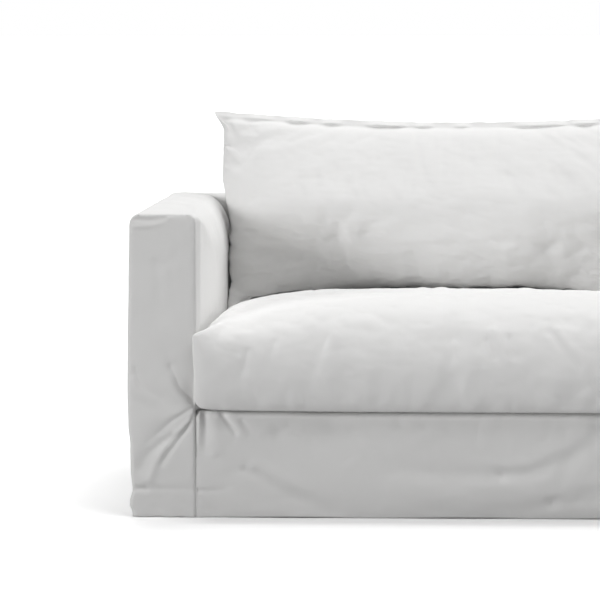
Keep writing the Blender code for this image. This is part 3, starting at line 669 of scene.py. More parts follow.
def flat_places(points):
    """Where a grid's points lie on the flat cloth, along and over its middle lines."""
    rows, columns = points.shape[:2]
    along = np.linalg.norm(np.diff(points[rows // 2], axis=0), axis=-1).cumsum()
    over = np.linalg.norm(np.diff(points[:, columns // 2], axis=0), axis=-1).cumsum()
    return np.meshgrid(np.append(0.0, along), np.append(0.0, over))


def cloth_panel(name, points, inside, seams, hems, rumples, valley, seed):
    """A panel of cloth: crumpled, drawn in and puckered at its seams, turned in there.

    rumples lists the (size, height) of each coarseness of crumple.
    """
    normals, flipped = face_normals(points, inside)
    along, over = flat_places(points)
    seam = from_edges(points, seams)
    rim = from_edges(points, (*seams, *hems))
    height = -valley * np.exp(-((seam / SEAM_REACH) ** 2))
    for number, (size, amount) in enumerate(rumples):
        bumps = crumple(along, over, size, seed + 10 * number)
        height = height + amount * bumps * ease(rim / (0.3 * size))
    puckers = noise(along / PUCKER_LONG, over / PUCKER_LONG, seed + 5)
    puckers = puckers * np.exp(-seam / PUCKER_REACH)
    height = height + PUCKER_HEIGHT * puckers * ease(seam / PUCKER_START)
    points = points + normals * height[..., None]
    for edge in seams:
        points, normals = turn_in(points, normals, edge)
    rows, columns = points.shape[:2]
    grid = bmesh.new()
    bmesh.ops.create_grid(grid, x_segments=columns - 1, y_segments=rows - 1, size=0.5)
    piece = add_piece(name, grid, flipped)
    place_points(piece, points.reshape(-1, 3))
    thicken = piece.modifiers.new("cloth", "SOLIDIFY")
    thicken.thickness = CLOTH
    thicken.offset = -1.0
    return piece


def add_object(data):
    added = bpy.data.objects.new(data.name, data)
    bpy.context.scene.collection.objects.link(added)
    return added


def add_piece(name, mesh_edit, flipped):
    if flipped:
        bmesh.ops.reverse_faces(mesh_edit, faces=mesh_edit.faces)
    mesh = bpy.data.meshes.new(name)
    mesh_edit.to_mesh(mesh)
    mesh_edit.free()
    return add_object(mesh)


def place_points(piece, points):
    """Move a piece's points to places in the sofa's frame."""
    places = points - np.array([0.0, CENTRE_Y, 0.0])
    piece.data.vertices.foreach_set("co", places.astype(np.float32).ravel())
    piece.data.update()
    piece.data.shade_smooth()


def read_points(mesh):
    """A mesh's points in the sofa's frame, and their normals."""
    places = np.zeros(len(mesh.vertices) * 3, np.float32)
    mesh.vertices.foreach_get("co", places)
    normals = np.zeros(len(mesh.vertices) * 3, np.float32)
    mesh.vertex_normals.foreach_get("vector", normals)
    points = places.reshape(-1, 3).astype(float) + np.array([0.0, CENTRE_Y, 0.0])
    return points, normals.reshape(-1, 3).astype(float)


# ------------------------------------------------------------------ the panels


def strip(shares, make):
    """A panel's points stretch by stretch: make(stretch, share) gives x, y and z."""
    parts = []
    for stretch, share in enumerate(shares):
        across, depth, height = make(stretch, share[None, :])
        parts.append(np.stack(np.broadcast_arrays(across, depth, height), -1))
    return np.concatenate(parts, 1)


def arm_section(side, stretch, share, depth):
    """Distance from the centre line and height of a point across an arm's wrap."""
    slack_across, slack_down = inner_edge_radii(depth)
    inner = inner_half(depth)
    top_outer = HALF_WIDTH - EDGE_RADIUS
    angle = share * math.pi / 2
    if stretch == 0:
        height = blend(hem_height(depth), EDGE_LOW, share)
        return side_out(side, depth, height), height
    if stretch == 1:
        across = top_outer + EDGE_RADIUS * np.cos(angle)
        return across, EDGE_LOW + EDGE_RADIUS * np.sin(angle)
    if stretch == 2:
        across = blend(top_outer, inner + slack_across, share)
        swell = TOP_SWELL * np.sin(math.pi * share) * ease(depth / 0.1)
        return across, ARM_TOP + swell * ease((RAIL_FACE - depth) / 0.2)
    if stretch == 3:
        across = inner + slack_across * (1.0 - np.sin(angle))
        return across, ARM_TOP - slack_down * (1.0 - np.cos(angle))
    return inner, blend(ARM_TOP - slack_down, DECK_TOP + GAP, share)


def arm_wrap_end(side, stretch, share):
    """Depth at which an arm's wrap meets the back's."""
    across, height = arm_section(side, stretch, share, np.array(RAIL_FACE))
    if stretch == 0:
        return back_out(HALF_WIDTH, height) - CLOTH - GAP
    if stretch == 1:
        return mitre_depth(across) - CLOTH * np.cos(share * math.pi / 2) - MITRE_GAP
    if stretch == 2:
        return mitre_depth(across) - MITRE_GAP
    if stretch == 3:
        return rail_face(height - CLOTH) - MITRE_GAP
    return RAIL_FACE - GAP


def arm_wrap(side):
    """One strip over an arm: up its outer side, over its top, down to the deck."""
    start = SEAM_DROP + ROOM + GAP
    shares = stations(ARM_WRAP_RUNS, ARM_WRAP_STEPS[0], False, False)
    along = stations((DEPTH - start,), ARM_WRAP_STEPS[1])[0][:, None]

    def make(stretch, share):
        depth = blend(start, arm_wrap_end(side, stretch, share), along)
        across, height = arm_section(side, stretch, share, depth)
        return side * across, depth, height

    return strip(shares, make)


def arm_front(side):
    """The flat front of an arm, with the creases that the seat's corner pulls in it."""
    low, high = SKIRT_SEAM_TO
    shares = stations((EDGE_LOW, ROUND_EDGE), ARM_FRONT_STEPS[0], False, True)
    over = stations((ARM_WIDE,), ARM_FRONT_STEPS[1])[0][:, None]

    def make(stretch, share):
        if stretch == 0:
            height = blend(hem_height(over), EDGE_LOW, share)
        else:
            height = ARM_TOP - EDGE_RADIUS * (1.0 - np.sin(share * math.pi / 2))
        over_outer = clamp(height - EDGE_LOW, 0.0, EDGE_RADIUS)
        over_inner = height - (ARM_TOP - FRONT_CORNER_RADIUS)
        over_inner = clamp(over_inner, 0.0, FRONT_CORNER_RADIUS)
        drawn = EDGE_RADIUS - np.sqrt(EDGE_RADIUS**2 - over_outer**2)
        outer = np.where(stretch == 0, side_out(side, np.array(0.0), height), HALF_WIDTH)
        outer = outer - drawn - RIM_INSET
        inner = INNER_HALF + FRONT_CORNER_RADIUS
        inner = inner - np.sqrt(FRONT_CORNER_RADIUS**2 - over_inner**2)
        across = blend(outer, inner, over)
        from_wrap = np.minimum(outer - across, ARM_TOP - height)
        from_inner = across - inner
        inner_drop = blend(SKIRT_SEAM_DROP, SEAM_DROP, ease((height - low) / (high - low)))
        drop = SEAM_DROP * np.exp(-from_wrap / SEAM_ROUNDING)
        drop = np.maximum(drop, inner_drop * np.exp(-from_inner / SEAM_ROUNDING))
        folds = crease_height(ARM_FRONT_CREASES[side], across - INNER_HALF, height)
        depth = drop - folds * ease(np.minimum(from_wrap, from_inner) / FRONT_SLACK)
        lower = RIM_INSET * ease((height - EDGE_LOW) / EDGE_RADIUS)
        return side * across, depth, height - lower

    return strip(shares, make)


def skirt_front():
    """The front skirt, from the hem up and over the front edge on to the deck."""
    turn = DECK_TOP - ROLL_RADIUS
    runs = (turn, ROLL_RADIUS * math.pi / 2, SKIRT_ON_DECK)
    shares = stations(runs, SKIRT_STEPS[0], False, False)
    half = INNER_HALF - GAP
    over = stations((2.0 * half,), SKIRT_STEPS[1])[0][:, None]
    across = blend(-half, half, over)
    from_edge = INNER_HALF - np.abs(across)
    drop = SKIRT_SEAM_DROP * np.exp(-from_edge / SEAM_ROUNDING)
    slack = ease(from_edge / SKIRT_SLACK)

    def make(stretch, share):
        if stretch == 2:
            start = drop + ROLL_RADIUS
            return across, blend(start, ROLL_BACK, share), np.array(DECK_TOP)
        angle = share * math.pi / 2 * stretch
        height = blend(hem_height(across), turn, share) if stretch == 0 else turn
        height = height + ROLL_RADIUS * np.sin(angle)
        tuck = blend(*HEM_TUCK, ease((across + 0.55) / 0.9))
        tuck = tuck * (1.0 - clamp(height / HEM_TUCK_TO)) ** 2 * ease(from_edge / 0.04)
        folds = crease_height(SKIRT_CREASES, across, height) * slack * np.cos(angle)
        roll = ROLL_RADIUS * (1.0 - np.cos(angle))
        depth = drop + roll + tuck - folds * np.cos(angle)
        return across, depth, height + folds * np.sin(angle)

    return strip(shares, make)


def deck():
    """The plain deck under the seat cushion."""
    over = np.linspace(-INNER_HALF, INNER_HALF, 61)[:, None]

    def make(stretch, share):
        return over, blend(ROLL_BACK + GAP, RAIL_FACE + ROOM, share), np.array(DECK_TOP)

    return strip([np.linspace(0.0, 1.0, 41)], make)


def back_wrap():
    """One strip over the back: up the inside, over the rail, down the outside."""
    curve = EDGE_RADIUS * math.pi / 2
    top = DEPTH - RAIL_FACE - 2.0 * EDGE_RADIUS
    runs = (EDGE_LOW - DECK_TOP, curve, top, curve, EDGE_LOW)
    shares = stations(runs, BACK_STEPS[0], False, False)
    side = 2.0 * stations((2.0 * HALF_WIDTH,), BACK_STEPS[1])[0][:, None] - 1.0

    def make(stretch, share):
        angle = share * math.pi / 2
        if stretch == 0:
            height = blend(DECK_TOP + GAP, EDGE_LOW, share)
            return side * (arm_reach(height) + ROOM), np.array(RAIL_FACE), height
        if stretch == 1:
            height = ARM_TOP - EDGE_RADIUS * (1.0 - np.sin(angle))
            across = side * (arm_reach(height) + ROOM * np.cos(angle))
            return across, rail_face(height), height
        if stretch == 2:
            depth = blend(RAIL_FACE + EDGE_RADIUS, DEPTH - EDGE_RADIUS, share)
            return side * (mitre_across(depth) - MITRE_GAP), depth, np.array(ARM_TOP)
        if stretch == 3:
            depth = DEPTH - EDGE_RADIUS * (1.0 - np.sin(angle))
            height = ARM_TOP - EDGE_RADIUS * (1.0 - np.cos(angle))
            across = mitre_across(depth) - ROOM * np.sin(angle) - MITRE_GAP
            return side * across, depth, height
        height = blend(EDGE_LOW, hem_height(side), share)
        left = side_out(-1, np.array(DEPTH), height)
        right = side_out(1, np.array(DEPTH), height)
        across = side * (np.where(side > 0.0, right, left) - CLOTH - GAP)
        return across, back_out(across, height), height

    return strip(shares, make)


# ---------------------------------------------------------------- the cushions


def seat_half(depth):
    """Half the seat cushion's width: pinched between the arms, full ahead of them."""
    behind = blend(SEAT_HALF_FRONT, SEAT_HALF_REAR, ease(depth / SEAT_REAR))
    return blend(SEAT_HALF_NOSE, behind, ease((depth - PINCH_FROM) / PINCH_RUN))


def closer_to_ends(place, share):
    """Places from -1 to 1 drawn closer together towards both ends."""
    return np.sin(place * math.pi / 2) * share + place * (1.0 - share)


def rounded(share, shape):
    """A height of 1 at share 0 that rounds off to 0 at share 1."""
    flat, full = shape
    return (1.0 - clamp(share) ** flat) ** full


def seat_top(across, depth):
    """Height of the seat cushion's top at rest."""
    aside = clamp(np.abs(across) / seat_half(np.maximum(depth, SEAT_NOSE)))
    half = np.where(depth < SEAT_CROWN_Y, SEAT_CROWN_Y - SEAT_NOSE, SEAT_REAR - SEAT_CROWN_Y)
    away = clamp(np.abs(depth - SEAT_CROWN_Y) / half)
    end = SEAT_SEAM_END - SEAT_SEAM_DROP * clamp(depth / SEAT_REAR)
    seam = blend(SEAT_SEAM_MIDDLE, end, aside**SEAT_SEAM_LIFT)
    crown = SEAT_CROWN - SEAT_DIP * ease((depth - SEAT_CROWN_Y) / SEAT_DIP_RUN)
    return seam + (crown - seam) * rounded(away, SEAT_END_SHAPE) * rounded(aside, SEAT_SIDE_SHAPE)


def seat_cushion(a, b, c):
    """One long seat cushion, crowned, with a soft band round it."""
    spread = closer_to_ends(a, SEAT_ROWS_TO_ENDS)
    reach = ((b + 1.0) / 2) ** SEAT_ROWS_TO_NOSE
    level = np.interp((c + 1.0) / 2, *SEAT_LEVELS)
    inset = SEAT_TUCK * (1.0 - level) ** 5
    end_inset = SEAT_END_TUCK * (1.0 - level) ** 9
    corner = SEAT_CORNER_ROUND * np.abs(a) ** 14
    depth = blend(SEAT_NOSE + inset + corner, SEAT_REAR - inset, reach)
    across = spread * (seat_half(depth) - end_inset)
    edge_depth = np.where(np.abs(a) < 0.999, SEAT_NOSE, depth)
    seam = seat_top(spread * seat_half(edge_depth), edge_depth)
    side = blend(SEAT_BOTTOM + SEAT_CORNER_LIFT * np.abs(a) ** 24, seam, level)
    top = np.maximum(seam, seat_top(across, depth))
    return np.stack([across, depth, np.where(c > 0.999, top, side)], -1)


def back_swell(spread, up):
    """Share of the back cushion's fullness over its face, spread and up each -1 to 1."""
    aside = np.abs(spread)
    from_level = np.sqrt(up**2 + BACK_LEVEL**2) - BACK_LEVEL
    from_level = from_level / (math.sqrt(1.0 + BACK_LEVEL**2) - BACK_LEVEL)
    upper = rounded(from_level, BACK_UPPER)
    start, run = BACK_DRAWN_IN
    drawn_in = ease((aside - start) / run)
    shape = [blend(*pair, drawn_in) for pair in zip(BACK_LOWER, BACK_LOWER_SIDE)]
    lower = rounded(from_level, shape)
    rise = np.where(up > 0.0, upper, lower) * (1.0 - BACK_FULL_BELOW * up)
    return rise * rounded(aside, (blend(*BACK_SIDE_POWER, ease(BACK_SIDE_BELOW - up)), 0.5))


def back_cushion(a, b, c):
    """One long back cushion with a flanged top seam, ears and drawn-in sides."""
    spread = closer_to_ends(a, BACK_ROWS_TO_ENDS)
    up = clamp((b + 1.0) / (FLANGE_FROM + 1.0) * 2.0 - 1.0, -1.0, 1.0)
    up = closer_to_ends(up, BACK_ROWS_TO_SEAMS)
    top = BACK_TOP_MIDDLE + BACK_TOP_RISE * spread**2
    above_seam = FLANGE * clamp((b - FLANGE_FROM) / (1.0 - FLANGE_FROM))
    start, run = BACK_WIDENS
    half = blend(BACK_HALF_LOW, BACK_HALF_HIGH, ease((up - start) / run))
    seat = seat_top(spread * BACK_HALF_LOW, np.array(BACK_BOTTOM_Y))
    bottom = seat + REST_GAP + SEAT_DIP
    height = blend(bottom, top - FLANGE, (up + 1.0) / 2) + above_seam
    reach = SEAT_DIP + BACK_SAG * spread**2
    height = height - reach * ease((-up - BACK_STRETCH_BELOW) / (1.0 - BACK_STRETCH_BELOW))
    ear = EAR_OUT * ease(((height - bottom) / (top - bottom) - EAR_FROM) / (1.0 - EAR_FROM))
    across = spread * half + np.copysign(ear * np.abs(spread) ** 8, spread)
    seam_y = BACK_BOTTOM_Y + BACK_LEAN * (height - SEAT_CROWN)
    fullness = np.where(c < 0.0, BACK_SWELL_FRONT, BACK_SWELL_REAR)
    depth = seam_y + c * (FLANGE_HALF + fullness * back_swell(spread, up))
    depth = np.minimum(depth, RAIL_FACE - REST_GAP)
    height = np.maximum(height, seat_top(across, depth) + REST_GAP)
    return np.stack([across, depth, height], -1)


def filled_body(name, cells, place, flipped):
    """A filled cushion: a divided cube put in shape by place(a, b, c), each -1 to 1."""
    body = bmesh.new()
    bmesh.ops.create_cube(body, size=2.0)
    for axis, count in enumerate(cells):
        ends = [(edge, *(vertex.co[axis] for vertex in edge.verts)) for edge in body.edges]
        along = [edge for edge, start, end in ends if abs(start - end) > 1.0]
        bmesh.ops.subdivide_edges(body, edges=along, cuts=count - 1, use_grid_fill=True)
    cube = np.array([vertex.co for vertex in body.verts])
    piece = add_piece(name, body, flipped)
    place_points(piece, place(*cube.T))
    return piece, cube


def subdivide(piece):
    modifier = piece.modifiers.new("finer", "SUBSURF")
    modifier.levels = 1
    done = piece.evaluated_get(bpy.context.evaluated_depsgraph_get())
    mesh = bpy.data.meshes.new_from_object(done)
    piece.modifiers.remove(modifier)
    piece.data = mesh
    mesh.shade_smooth()


def spread_out(piece, values, times, share=1.0):
    """Values at a piece's points, each moved towards its neighbours' mean in turns."""
    edges = np.zeros(len(piece.data.edges) * 2, np.int32)
    piece.data.edges.foreach_get("vertices", edges)
    edges = edges.reshape(-1, 2)
    starts, ends = np.concatenate([edges, edges[:, ::-1]]).T
    number = np.bincount(starts, minlength=len(values))
    for _ in range(times):
        mean = np.bincount(starts, values[ends], len(values)) / number
        values = values + 0.5 * share * (mean - values)
    return values


def soften(piece, times, share=1.0):
    """Round off a body's edges, as far as the share at each point says."""
    points, _ = read_points(piece.data)
    columns = [spread_out(piece, points[:, axis], times, share) for axis in range(3)]
    place_points(piece, np.stack(columns, -1))


PRESSURE = 4.0
LOOSE_CLOTH = -0.045      # the cloth is this much too large for the filling
FRAMES = 20


def puckers_of_blown_up(piece, held):
    """Height over a body's plain form of the puckers that its cloth draws, blown up."""
    before, normals = read_points(piece.data)
    pins = piece.vertex_groups.new(name="held")
    pins.add(np.flatnonzero(held).tolist(), 1.0, "REPLACE")
    cloth = piece.modifiers.new("blown_up", "CLOTH")
    cloth.settings.vertex_group_mass = "held"
    cloth.settings.use_pressure = True
    cloth.settings.uniform_pressure_force = PRESSURE
    cloth.settings.shrink_min = LOOSE_CLOTH
    cloth.settings.bending_stiffness = 0.3
    cloth.settings.effector_weights.gravity = 0.0
    cloth.point_cache.frame_end = FRAMES
    scene = bpy.context.scene
    for number in range(1, FRAMES + 1):
        scene.frame_set(number)
    done = piece.evaluated_get(bpy.context.evaluated_depsgraph_get())
    after, _ = read_points(done.data)
    piece.modifiers.remove(cloth)
    piece.vertex_groups.remove(pins)
    scene.frame_set(1)
    moved = ((after - before) * normals).sum(-1)
    return moved - spread_out(piece, moved, 40)


def finish_cushion(piece, held, detail, cap, gain):
    """Pucker a body's cloth by a share, the gain, subdivide it and add its creases."""
    puckers = puckers_of_blown_up(piece, held)
    points, normals = read_points(piece.data)
    height = clamp(gain * puckers, -cap, cap)
    place_points(piece, points + normals * height[:, None])
    subdivide(piece)
    points, normals = read_points(piece.data)
    place_points(piece, points + normals * detail(points, normals)[:, None])


def turned_off(normal):
    """Share to which a face looks away from an axis, from its normal's part along it."""
    return ease((0.35 - normal) / 0.3)


def seat_detail(points, normals):
    """Creases, crumple and seam of the seat cushion, as heights over its form."""
    x, y, z = points.T
    front = ease((0.05 - y) / 0.05)
    height = crease_height(SEAT_CREASES, x, z) * front
    seam_line = SEAT_SEAM_MIDDLE - SEAT_SEAM_SINKS
    on_band = turned_off(normals[:, 2]) * ease((BAND_PUCKERS_TO - np.abs(x)) / 0.03)
    size_x, size_z, size_y = BAND_PUCKERS
    pucker = noise(x / size_x, z / size_z + y / size_y, 31)
    from_seam = (z - seam_line) / BAND_PUCKER_REACH
    height += BAND_PUCKER_HEIGHT * pucker * np.exp(-(from_seam**2)) * on_band
    behind = y - SEAT_CROWN_Y
    over_crown = np.exp(-((behind / RUCK_RUN) ** 2)) * ease(normals[:, 2] / 0.5)
    for row in SEAT_RUCKS:
        slanted = x - row.across + RUCK_SLANT * behind
        height += row.height * np.exp(-((slanted / row.half) ** 2)) * over_crown
    calm = ease((z - SEAT_BOTTOM) / 0.02)
    for row in SEAT_RUMPLES:
        height += row.height * crumple(x, y + z, row.size, row.seed) * calm
    return height


def back_detail(points, normals):
    """Creases and crumple of the back cushion, as heights over its form."""
    x, y, z = points.T
    front = turned_off(normals[:, 1])
    seam = BACK_TOP_MIDDLE + BACK_TOP_RISE * (x / BACK_HALF_HIGH) ** 2 - FLANGE
    body = 1.0 - ease((z - seam) / 0.006)
    height = crease_height(BACK_CREASES, x, z) * front
    start, run = BACK_SOFTER
    low = ease((start - z) / run)
    for row in BACK_RUMPLES:
        bumps = crumple(x * row.across, z * row.up, row.size, row.seed)
        height += blend(row.upper, row.lower, low) * bumps
    return height * body


def lean_flange(piece, cube):
    """The back cushion's flange leans forward here and there and waves a little."""
    points, _ = read_points(piece.data)
    x = points[:, 0]
    up = ease((cube[:, 1] - FLANGE_FROM) / (1.0 - FLANGE_FROM))
    lean = FLANGE_BACK + 0.0012 * noise(x / 0.014, 0.0 * x, 51)
    points[:, 1] += lean * up
    for row in FLANGE_LEANS:
        folded = np.exp(-(((x - row.across) / row.half) ** 4)) * np.sin(math.pi * up**0.8)
        points[:, 1] -= FLANGE_FORWARD * row.lean * folded
    for row in FLANGE_WAVES:
        points[:, 2] += row.height * noise(x / row.size, 0.0 * x + row.shift, row.seed) * up
    place_points(piece, points)


# ---------------------------------------------------------------- the materials


class Value:
    """A socket's value in a material, so that its sums can be written as sums."""

    def __init__(self, material, socket):
        self.material = material
        self.socket = socket

    def maths(self, operation, *values):
        return self.material.node("ShaderNodeMath", values, operation=operation)

    def __add__(self, other):
        return self.maths("ADD", self, other)

    def __sub__(self, other):
        return self.maths("SUBTRACT", self, other)

    def __rsub__(self, other):
        return self.maths("SUBTRACT", other, self)

    def __mul__(self, other):
        return self.maths("MULTIPLY", self, other)

    def __pow__(self, other):
        return self.maths("POWER", self, other)

    __radd__ = __add__
    __rmul__ = __mul__


class Material:
    """The nodes of one procedural material, or of the world, before its shader."""

    def __init__(self, made, shader="Principled BSDF"):
        self.made = made
        self.made.use_nodes = True
        self.tree = self.made.node_tree
        self.shader = self.tree.nodes[shader]

    def set_socket(self, node, socket, value):
        if isinstance(value, Value):
            self.tree.links.new(value.socket, node.inputs[socket])
        else:
            node.inputs[socket].default_value = value

    def node(self, kind, inputs=(), output=0, **settings):
        """Add a node: its settings first, then its sockets' values or links."""
        node = self.tree.nodes.new(kind)
        for setting, value in settings.items():
            setattr(node, setting, value)
        for socket, value in inputs.items() if isinstance(inputs, dict) else enumerate(inputs):
            self.set_socket(node, socket, value)
        return Value(self, node.outputs[output])

    def split(self, vector):
        """The x, y and z of a vector."""
        outputs = self.node("ShaderNodeSeparateXYZ", (vector,)).socket.node.outputs
        return [Value(self, output) for output in outputs]

    def change(self, value, start, end, first, last, kind):
        """A number that goes from the first to the last as a value goes from start to end."""
        sockets = {"Value": value, "From Min": start, "From Max": end}
        sockets |= {"To Min": first, "To Max": last}
        return self.node("ShaderNodeMapRange", sockets, interpolation_type=kind)

    def feed(self, socket, value):
        self.set_socket(self.shader, socket, value)


YARN_PITCH = 0.0011
SLUB_LONG = 26.0          # how many slubs there are to a metre along the yarn
SLUB_THIN = 520.0         # and across it
MOTTLE = 7.0


def woven_cloth(name, colour, shade):
    """Plain cotton and linen cloth: a fine weave, thicker yarns here and there."""
    cloth = Material(bpy.data.materials.new(name))
    places = cloth.node("ShaderNodeTexCoord", output="Object")
    yarns = []
    for place in cloth.split(places):
        turns = place * (2.0 * math.pi / YARN_PITCH)
        yarns.append(turns.maths("SINE", turns))
    weave = 0.0
    normal = cloth.node("ShaderNodeNewGeometry", output="Normal")
    for axis, facing in enumerate(cloth.split(normal)):
        weave = yarns[(axis + 1) % 3] * yarns[(axis + 2) % 3] * facing**2 + weave

    def streaks(scale, seed):
        stretched = cloth.node("ShaderNodeMapping", {"Vector": places, "Scale": scale})
        settings = {"Vector": stretched, "W": seed, "Scale": 1.0, "Detail": 2.0}
        return cloth.node("ShaderNodeTexNoise", settings, noise_dimensions="4D") - 0.5

    weft = streaks((SLUB_LONG, SLUB_LONG, SLUB_THIN), 1.0)
    warp = streaks((SLUB_THIN, SLUB_THIN, SLUB_LONG), 5.0)
    mottle = streaks((MOTTLE, MOTTLE, MOTTLE), 9.0)
    tone = 0.10 * weft + 0.07 * warp + 0.10 * mottle + 0.012 * weave
    dark = (*(part - shade for part in colour), 1.0)
    light = (*(part + shade for part in colour), 1.0)
    mix = {0: tone + 0.5, 6: dark, 7: light}
    cloth.feed("Base Color", cloth.node("ShaderNodeMix", mix, output=2, data_type="RGBA"))
    cloth.feed("Roughness", 0.88 + 0.12 * weft)
    relief = 0.35 * weave + 1.1 * weft + 0.8 * warp
    bump = {"Strength": 0.35, "Distance": 0.0003, "Height": relief}
    cloth.feed("Normal", cloth.node("ShaderNodeBump", bump))
    cloth.feed("Sheen Weight", 0.12)
    cloth.feed("Sheen Roughness", 0.6)
    cloth.feed("Specular IOR Level", 0.25)
    return cloth.made


cover_cloth = woven_cloth("cover_cloth", (0.835, 0.832, 0.824), 0.035)
seat_cloth = woven_cloth("seat_cloth", (0.840, 0.837, 0.830), 0.030)
# The back cushion's cloth is the cover's cloth painted lighter: painted light, standing in for
# brighter light on its face.
back_cloth = woven_cloth("back_cloth", (0.868, 0.865, 0.858), 0.032)

# -------------------------------------------------------------- making the cover


def dress(piece, material):
    """A finished piece stands for its solid and rides with it."""
    piece.data.materials.clear()
    piece.data.materials.append(material)
    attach(piece, "root")
    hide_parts(piece.name.removesuffix("_cloth"))


RUMPLES = ((0.150, 0.0016), (0.060, 0.0009), (0.027, 0.0004))

for side, label in ((-1, "left"), (1, "right")):
    arm_middle = (side * 0.63, 0.5, 0.35)
    wrap = cloth_panel(
        f"arm_wrap_{label}_cloth",
        arm_wrap(side),
        arm_middle,
        seams=("first", "last"),
        hems=("foot",),
        rumples=((0.170, 0.0022), (0.060, 0.0009)),
        valley=0.0014,
        seed=100 + side,
    )
    dress(wrap, cover_cloth)
    front = cloth_panel(
        f"arm_front_{label}_cloth",
        arm_front(side),
        arm_middle,
        seams=("first", "last", "head"),
        hems=("foot",),
        rumples=RUMPLES,
        valley=0.0008,
        seed=200 + side,
    )
    dress(front, cover_cloth)

skirt = cloth_panel(
    "skirt_front_cloth",
    skirt_front(),
    (0.0, 0.5, 0.05),
    seams=("first", "last"),
    hems=("foot",),
    rumples=((0.150, 0.0022), (0.070, 0.0013), (0.030, 0.0005)),
    valley=0.0004,
    seed=300,
)
dress(skirt, cover_cloth)

deck_cloth = cloth_panel(
    "deck_cloth", deck(), (0.0, 0.5, -0.5), (), ("first", "last"), ((0.1, 0.0008),), 0.0, 400
)
dress(deck_cloth, cover_cloth)

back = cloth_panel(
    "back_wrap_cloth",
    back_wrap(),
    (0.0, 0.9, 0.35),
    seams=("first", "last"),
    hems=("head",),
    rumples=((0.170, 0.0024), (0.065, 0.0009)),
    valley=0.0014,
    seed=500,
)
dress(back, cover_cloth)

seat, seat_cube = filled_body("seat_cushion_cloth", SEAT_CELLS, seat_cushion, False)
seat_aside = np.abs(seat_cube[:, 0])
seat_up = seat_cube[:, 2]
low_corners = ease((seat_aside - 0.92) / 0.06) * ease((-seat_up - 0.1) / 0.5)
top_and_band = ease((seat_up + 0.6) / 0.8) * ease((0.99 - seat_aside) / 0.10)
soften(seat, 10, 1.0 - 0.8 * low_corners)
soften(seat, 20, top_and_band)
seat_held = seat_up < -0.99
finish_cushion(seat, seat_held, seat_detail, cap=0.006, gain=0.45)
dress(seat, seat_cloth)

pillow, pillow_cube = filled_body("back_cushion_cloth", BACK_CELLS, back_cushion, True)
lean_flange(pillow, pillow_cube)
pillow_held = (pillow_cube[:, 1] > FLANGE_FROM - 0.02) | (np.abs(pillow_cube[:, 2]) < 0.5)
finish_cushion(pillow, pillow_held, back_detail, cap=0.008, gain=0.28)
dress(pillow, back_cloth)

# ------------------------------------------------------------------- the studio

FLOOR_HALF = 1500.0
FLOOR_WHITE = 0.98        # share of the light that the floor that shows throws back
FLOOR_BOUNCE = 0.40       # and the one that lights the cover
FLOOR_GLOW = 0.26
PAINTED_SHADOW_ACROSS = (0.50, 0.68)   # the painted shadow before the seat ends between these, from the middle
PAINTED_SHADOW_AHEAD = (0.050, 0.115)  # and between these, from the fronts of the arms

# Where each soft light comes from and how wide its source is, in degrees
KEY_SUNS = table(
    "azimuth elevation width strength",
    (235.0, 15.0, 20.0, 1.50),
    (0.0, 60.0, 35.0, 1.40),
    (30.0, 60.0, 35.0, 0.55),
    (120.0, 60.0, 35.0, 1.25),
    (90.0, 15.0, 35.0, 0.62),
)


def glow_with_painted_shadow(paper):
    """1 all over the floor, down to 0 close before the seat: a painted shadow in the floor's
    glow, where the seat would keep light off it.
    """
    across, along, _ = paper.split(paper.node("ShaderNodeTexCoord", output="Object"))
    ahead = -CENTRE_Y - along

    def near(distance, reach):
        distance = distance.maths("ABSOLUTE", distance)
        return paper.change(distance, *reach, 1.0, 0.0, "SMOOTHSTEP")

    return 1.0 - near(across, PAINTED_SHADOW_ACROSS) * near(ahead, PAINTED_SHADOW_AHEAD)


def floor_plane(name, albedo, glow):
    """A matt floor as far as the horizon, not part of the cover."""
    edit = bmesh.new()
    bmesh.ops.create_grid(edit, x_segments=12, y_segments=12, size=FLOOR_HALF)
    floor = add_piece(name, edit, False)
    paper = Material(bpy.data.materials.new(name))
    paper.feed("Base Color", (albedo, albedo, albedo, 1.0))
    paper.feed("Roughness", 1.0)
    paper.feed("Specular IOR Level", 0.0)
    # The glow's colour carries a painted shadow: darker close before the seat.
    paper.feed("Emission Color", glow_with_painted_shadow(paper))
    paper.feed("Emission Strength", glow)
    floor.data.materials.append(paper.made)
    return floor


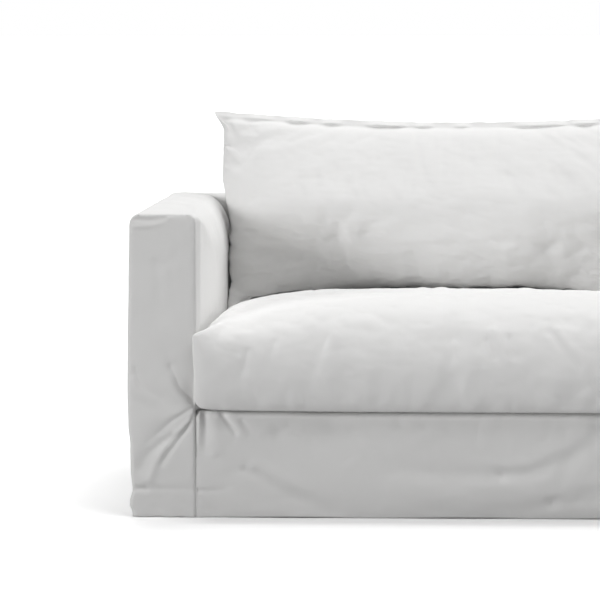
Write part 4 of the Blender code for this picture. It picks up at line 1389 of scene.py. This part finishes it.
def studio_floor():
    """A white floor to look at, over a greyer one that throws less light on the cover."""
    white = floor_plane("studio_floor", FLOOR_WHITE, FLOOR_GLOW)
    white.visible_diffuse = False
    white.visible_glossy = False
    white.visible_shadow = False
    grey = floor_plane("studio_bounce", FLOOR_BOUNCE, 0.0)
    grey.location.z = -0.001
    grey.visible_camera = False


def turn_to(thing, axis, azimuth, elevation):
    """Turn a thing so that one of its axes points that way, from the sofa's depth."""
    level = math.cos(elevation)
    way = Vector((math.sin(azimuth) * level, math.cos(azimuth) * level, math.sin(elevation)))
    thing.rotation_euler = way.to_track_quat(axis, "Y").to_euler()


def studio_suns():
    for number, row in enumerate(KEY_SUNS):
        lamp = bpy.data.lights.new(f"soft_light_{number}", "SUN")
        lamp.energy = row.strength
        lamp.angle = math.radians(row.width)
        turn_to(add_object(lamp), "Z", math.radians(row.azimuth), math.radians(row.elevation))


WORLD_ABOVE = 0.02        # soft light from all round above
WORLD_BELOW = 1.00        # and off the floor
BACKDROP_TOP = (0.02, 0.05)   # heights between which the white backdrop ends


def studio_world():
    """White all round, bright off the floor and faint above it."""
    world = Material(bpy.data.worlds.new("studio"), "Background")
    bpy.context.scene.world = world.made
    height = world.split(world.node("ShaderNodeTexCoord", output="Generated"))[2]
    strength = world.change(height, *BACKDROP_TOP, WORLD_BELOW, WORLD_ABOVE, "LINEAR")
    world.feed("Color", (1.0, 1.0, 1.0, 1.0))
    world.feed("Strength", strength)


LENS = 188.2
CAMERA_PLACE = (0.0, -CENTRE_Y - 6.738, 1.0493)
CAMERA_TURN = -0.04982    # radians off the sofa's depth
CAMERA_DIP = -0.08480     # radians above the level


def photographer():
    lens = bpy.data.cameras.new("camera")
    lens.lens = LENS
    lens.sensor_width = 36.0
    camera = add_object(lens)
    camera.location = CAMERA_PLACE
    turn_to(camera, "-Z", CAMERA_TURN, CAMERA_DIP)
    bpy.context.scene.camera = camera


studio_floor()
studio_suns()
studio_world()
photographer()
bpy.context.scene.view_settings.view_transform = "Standard"
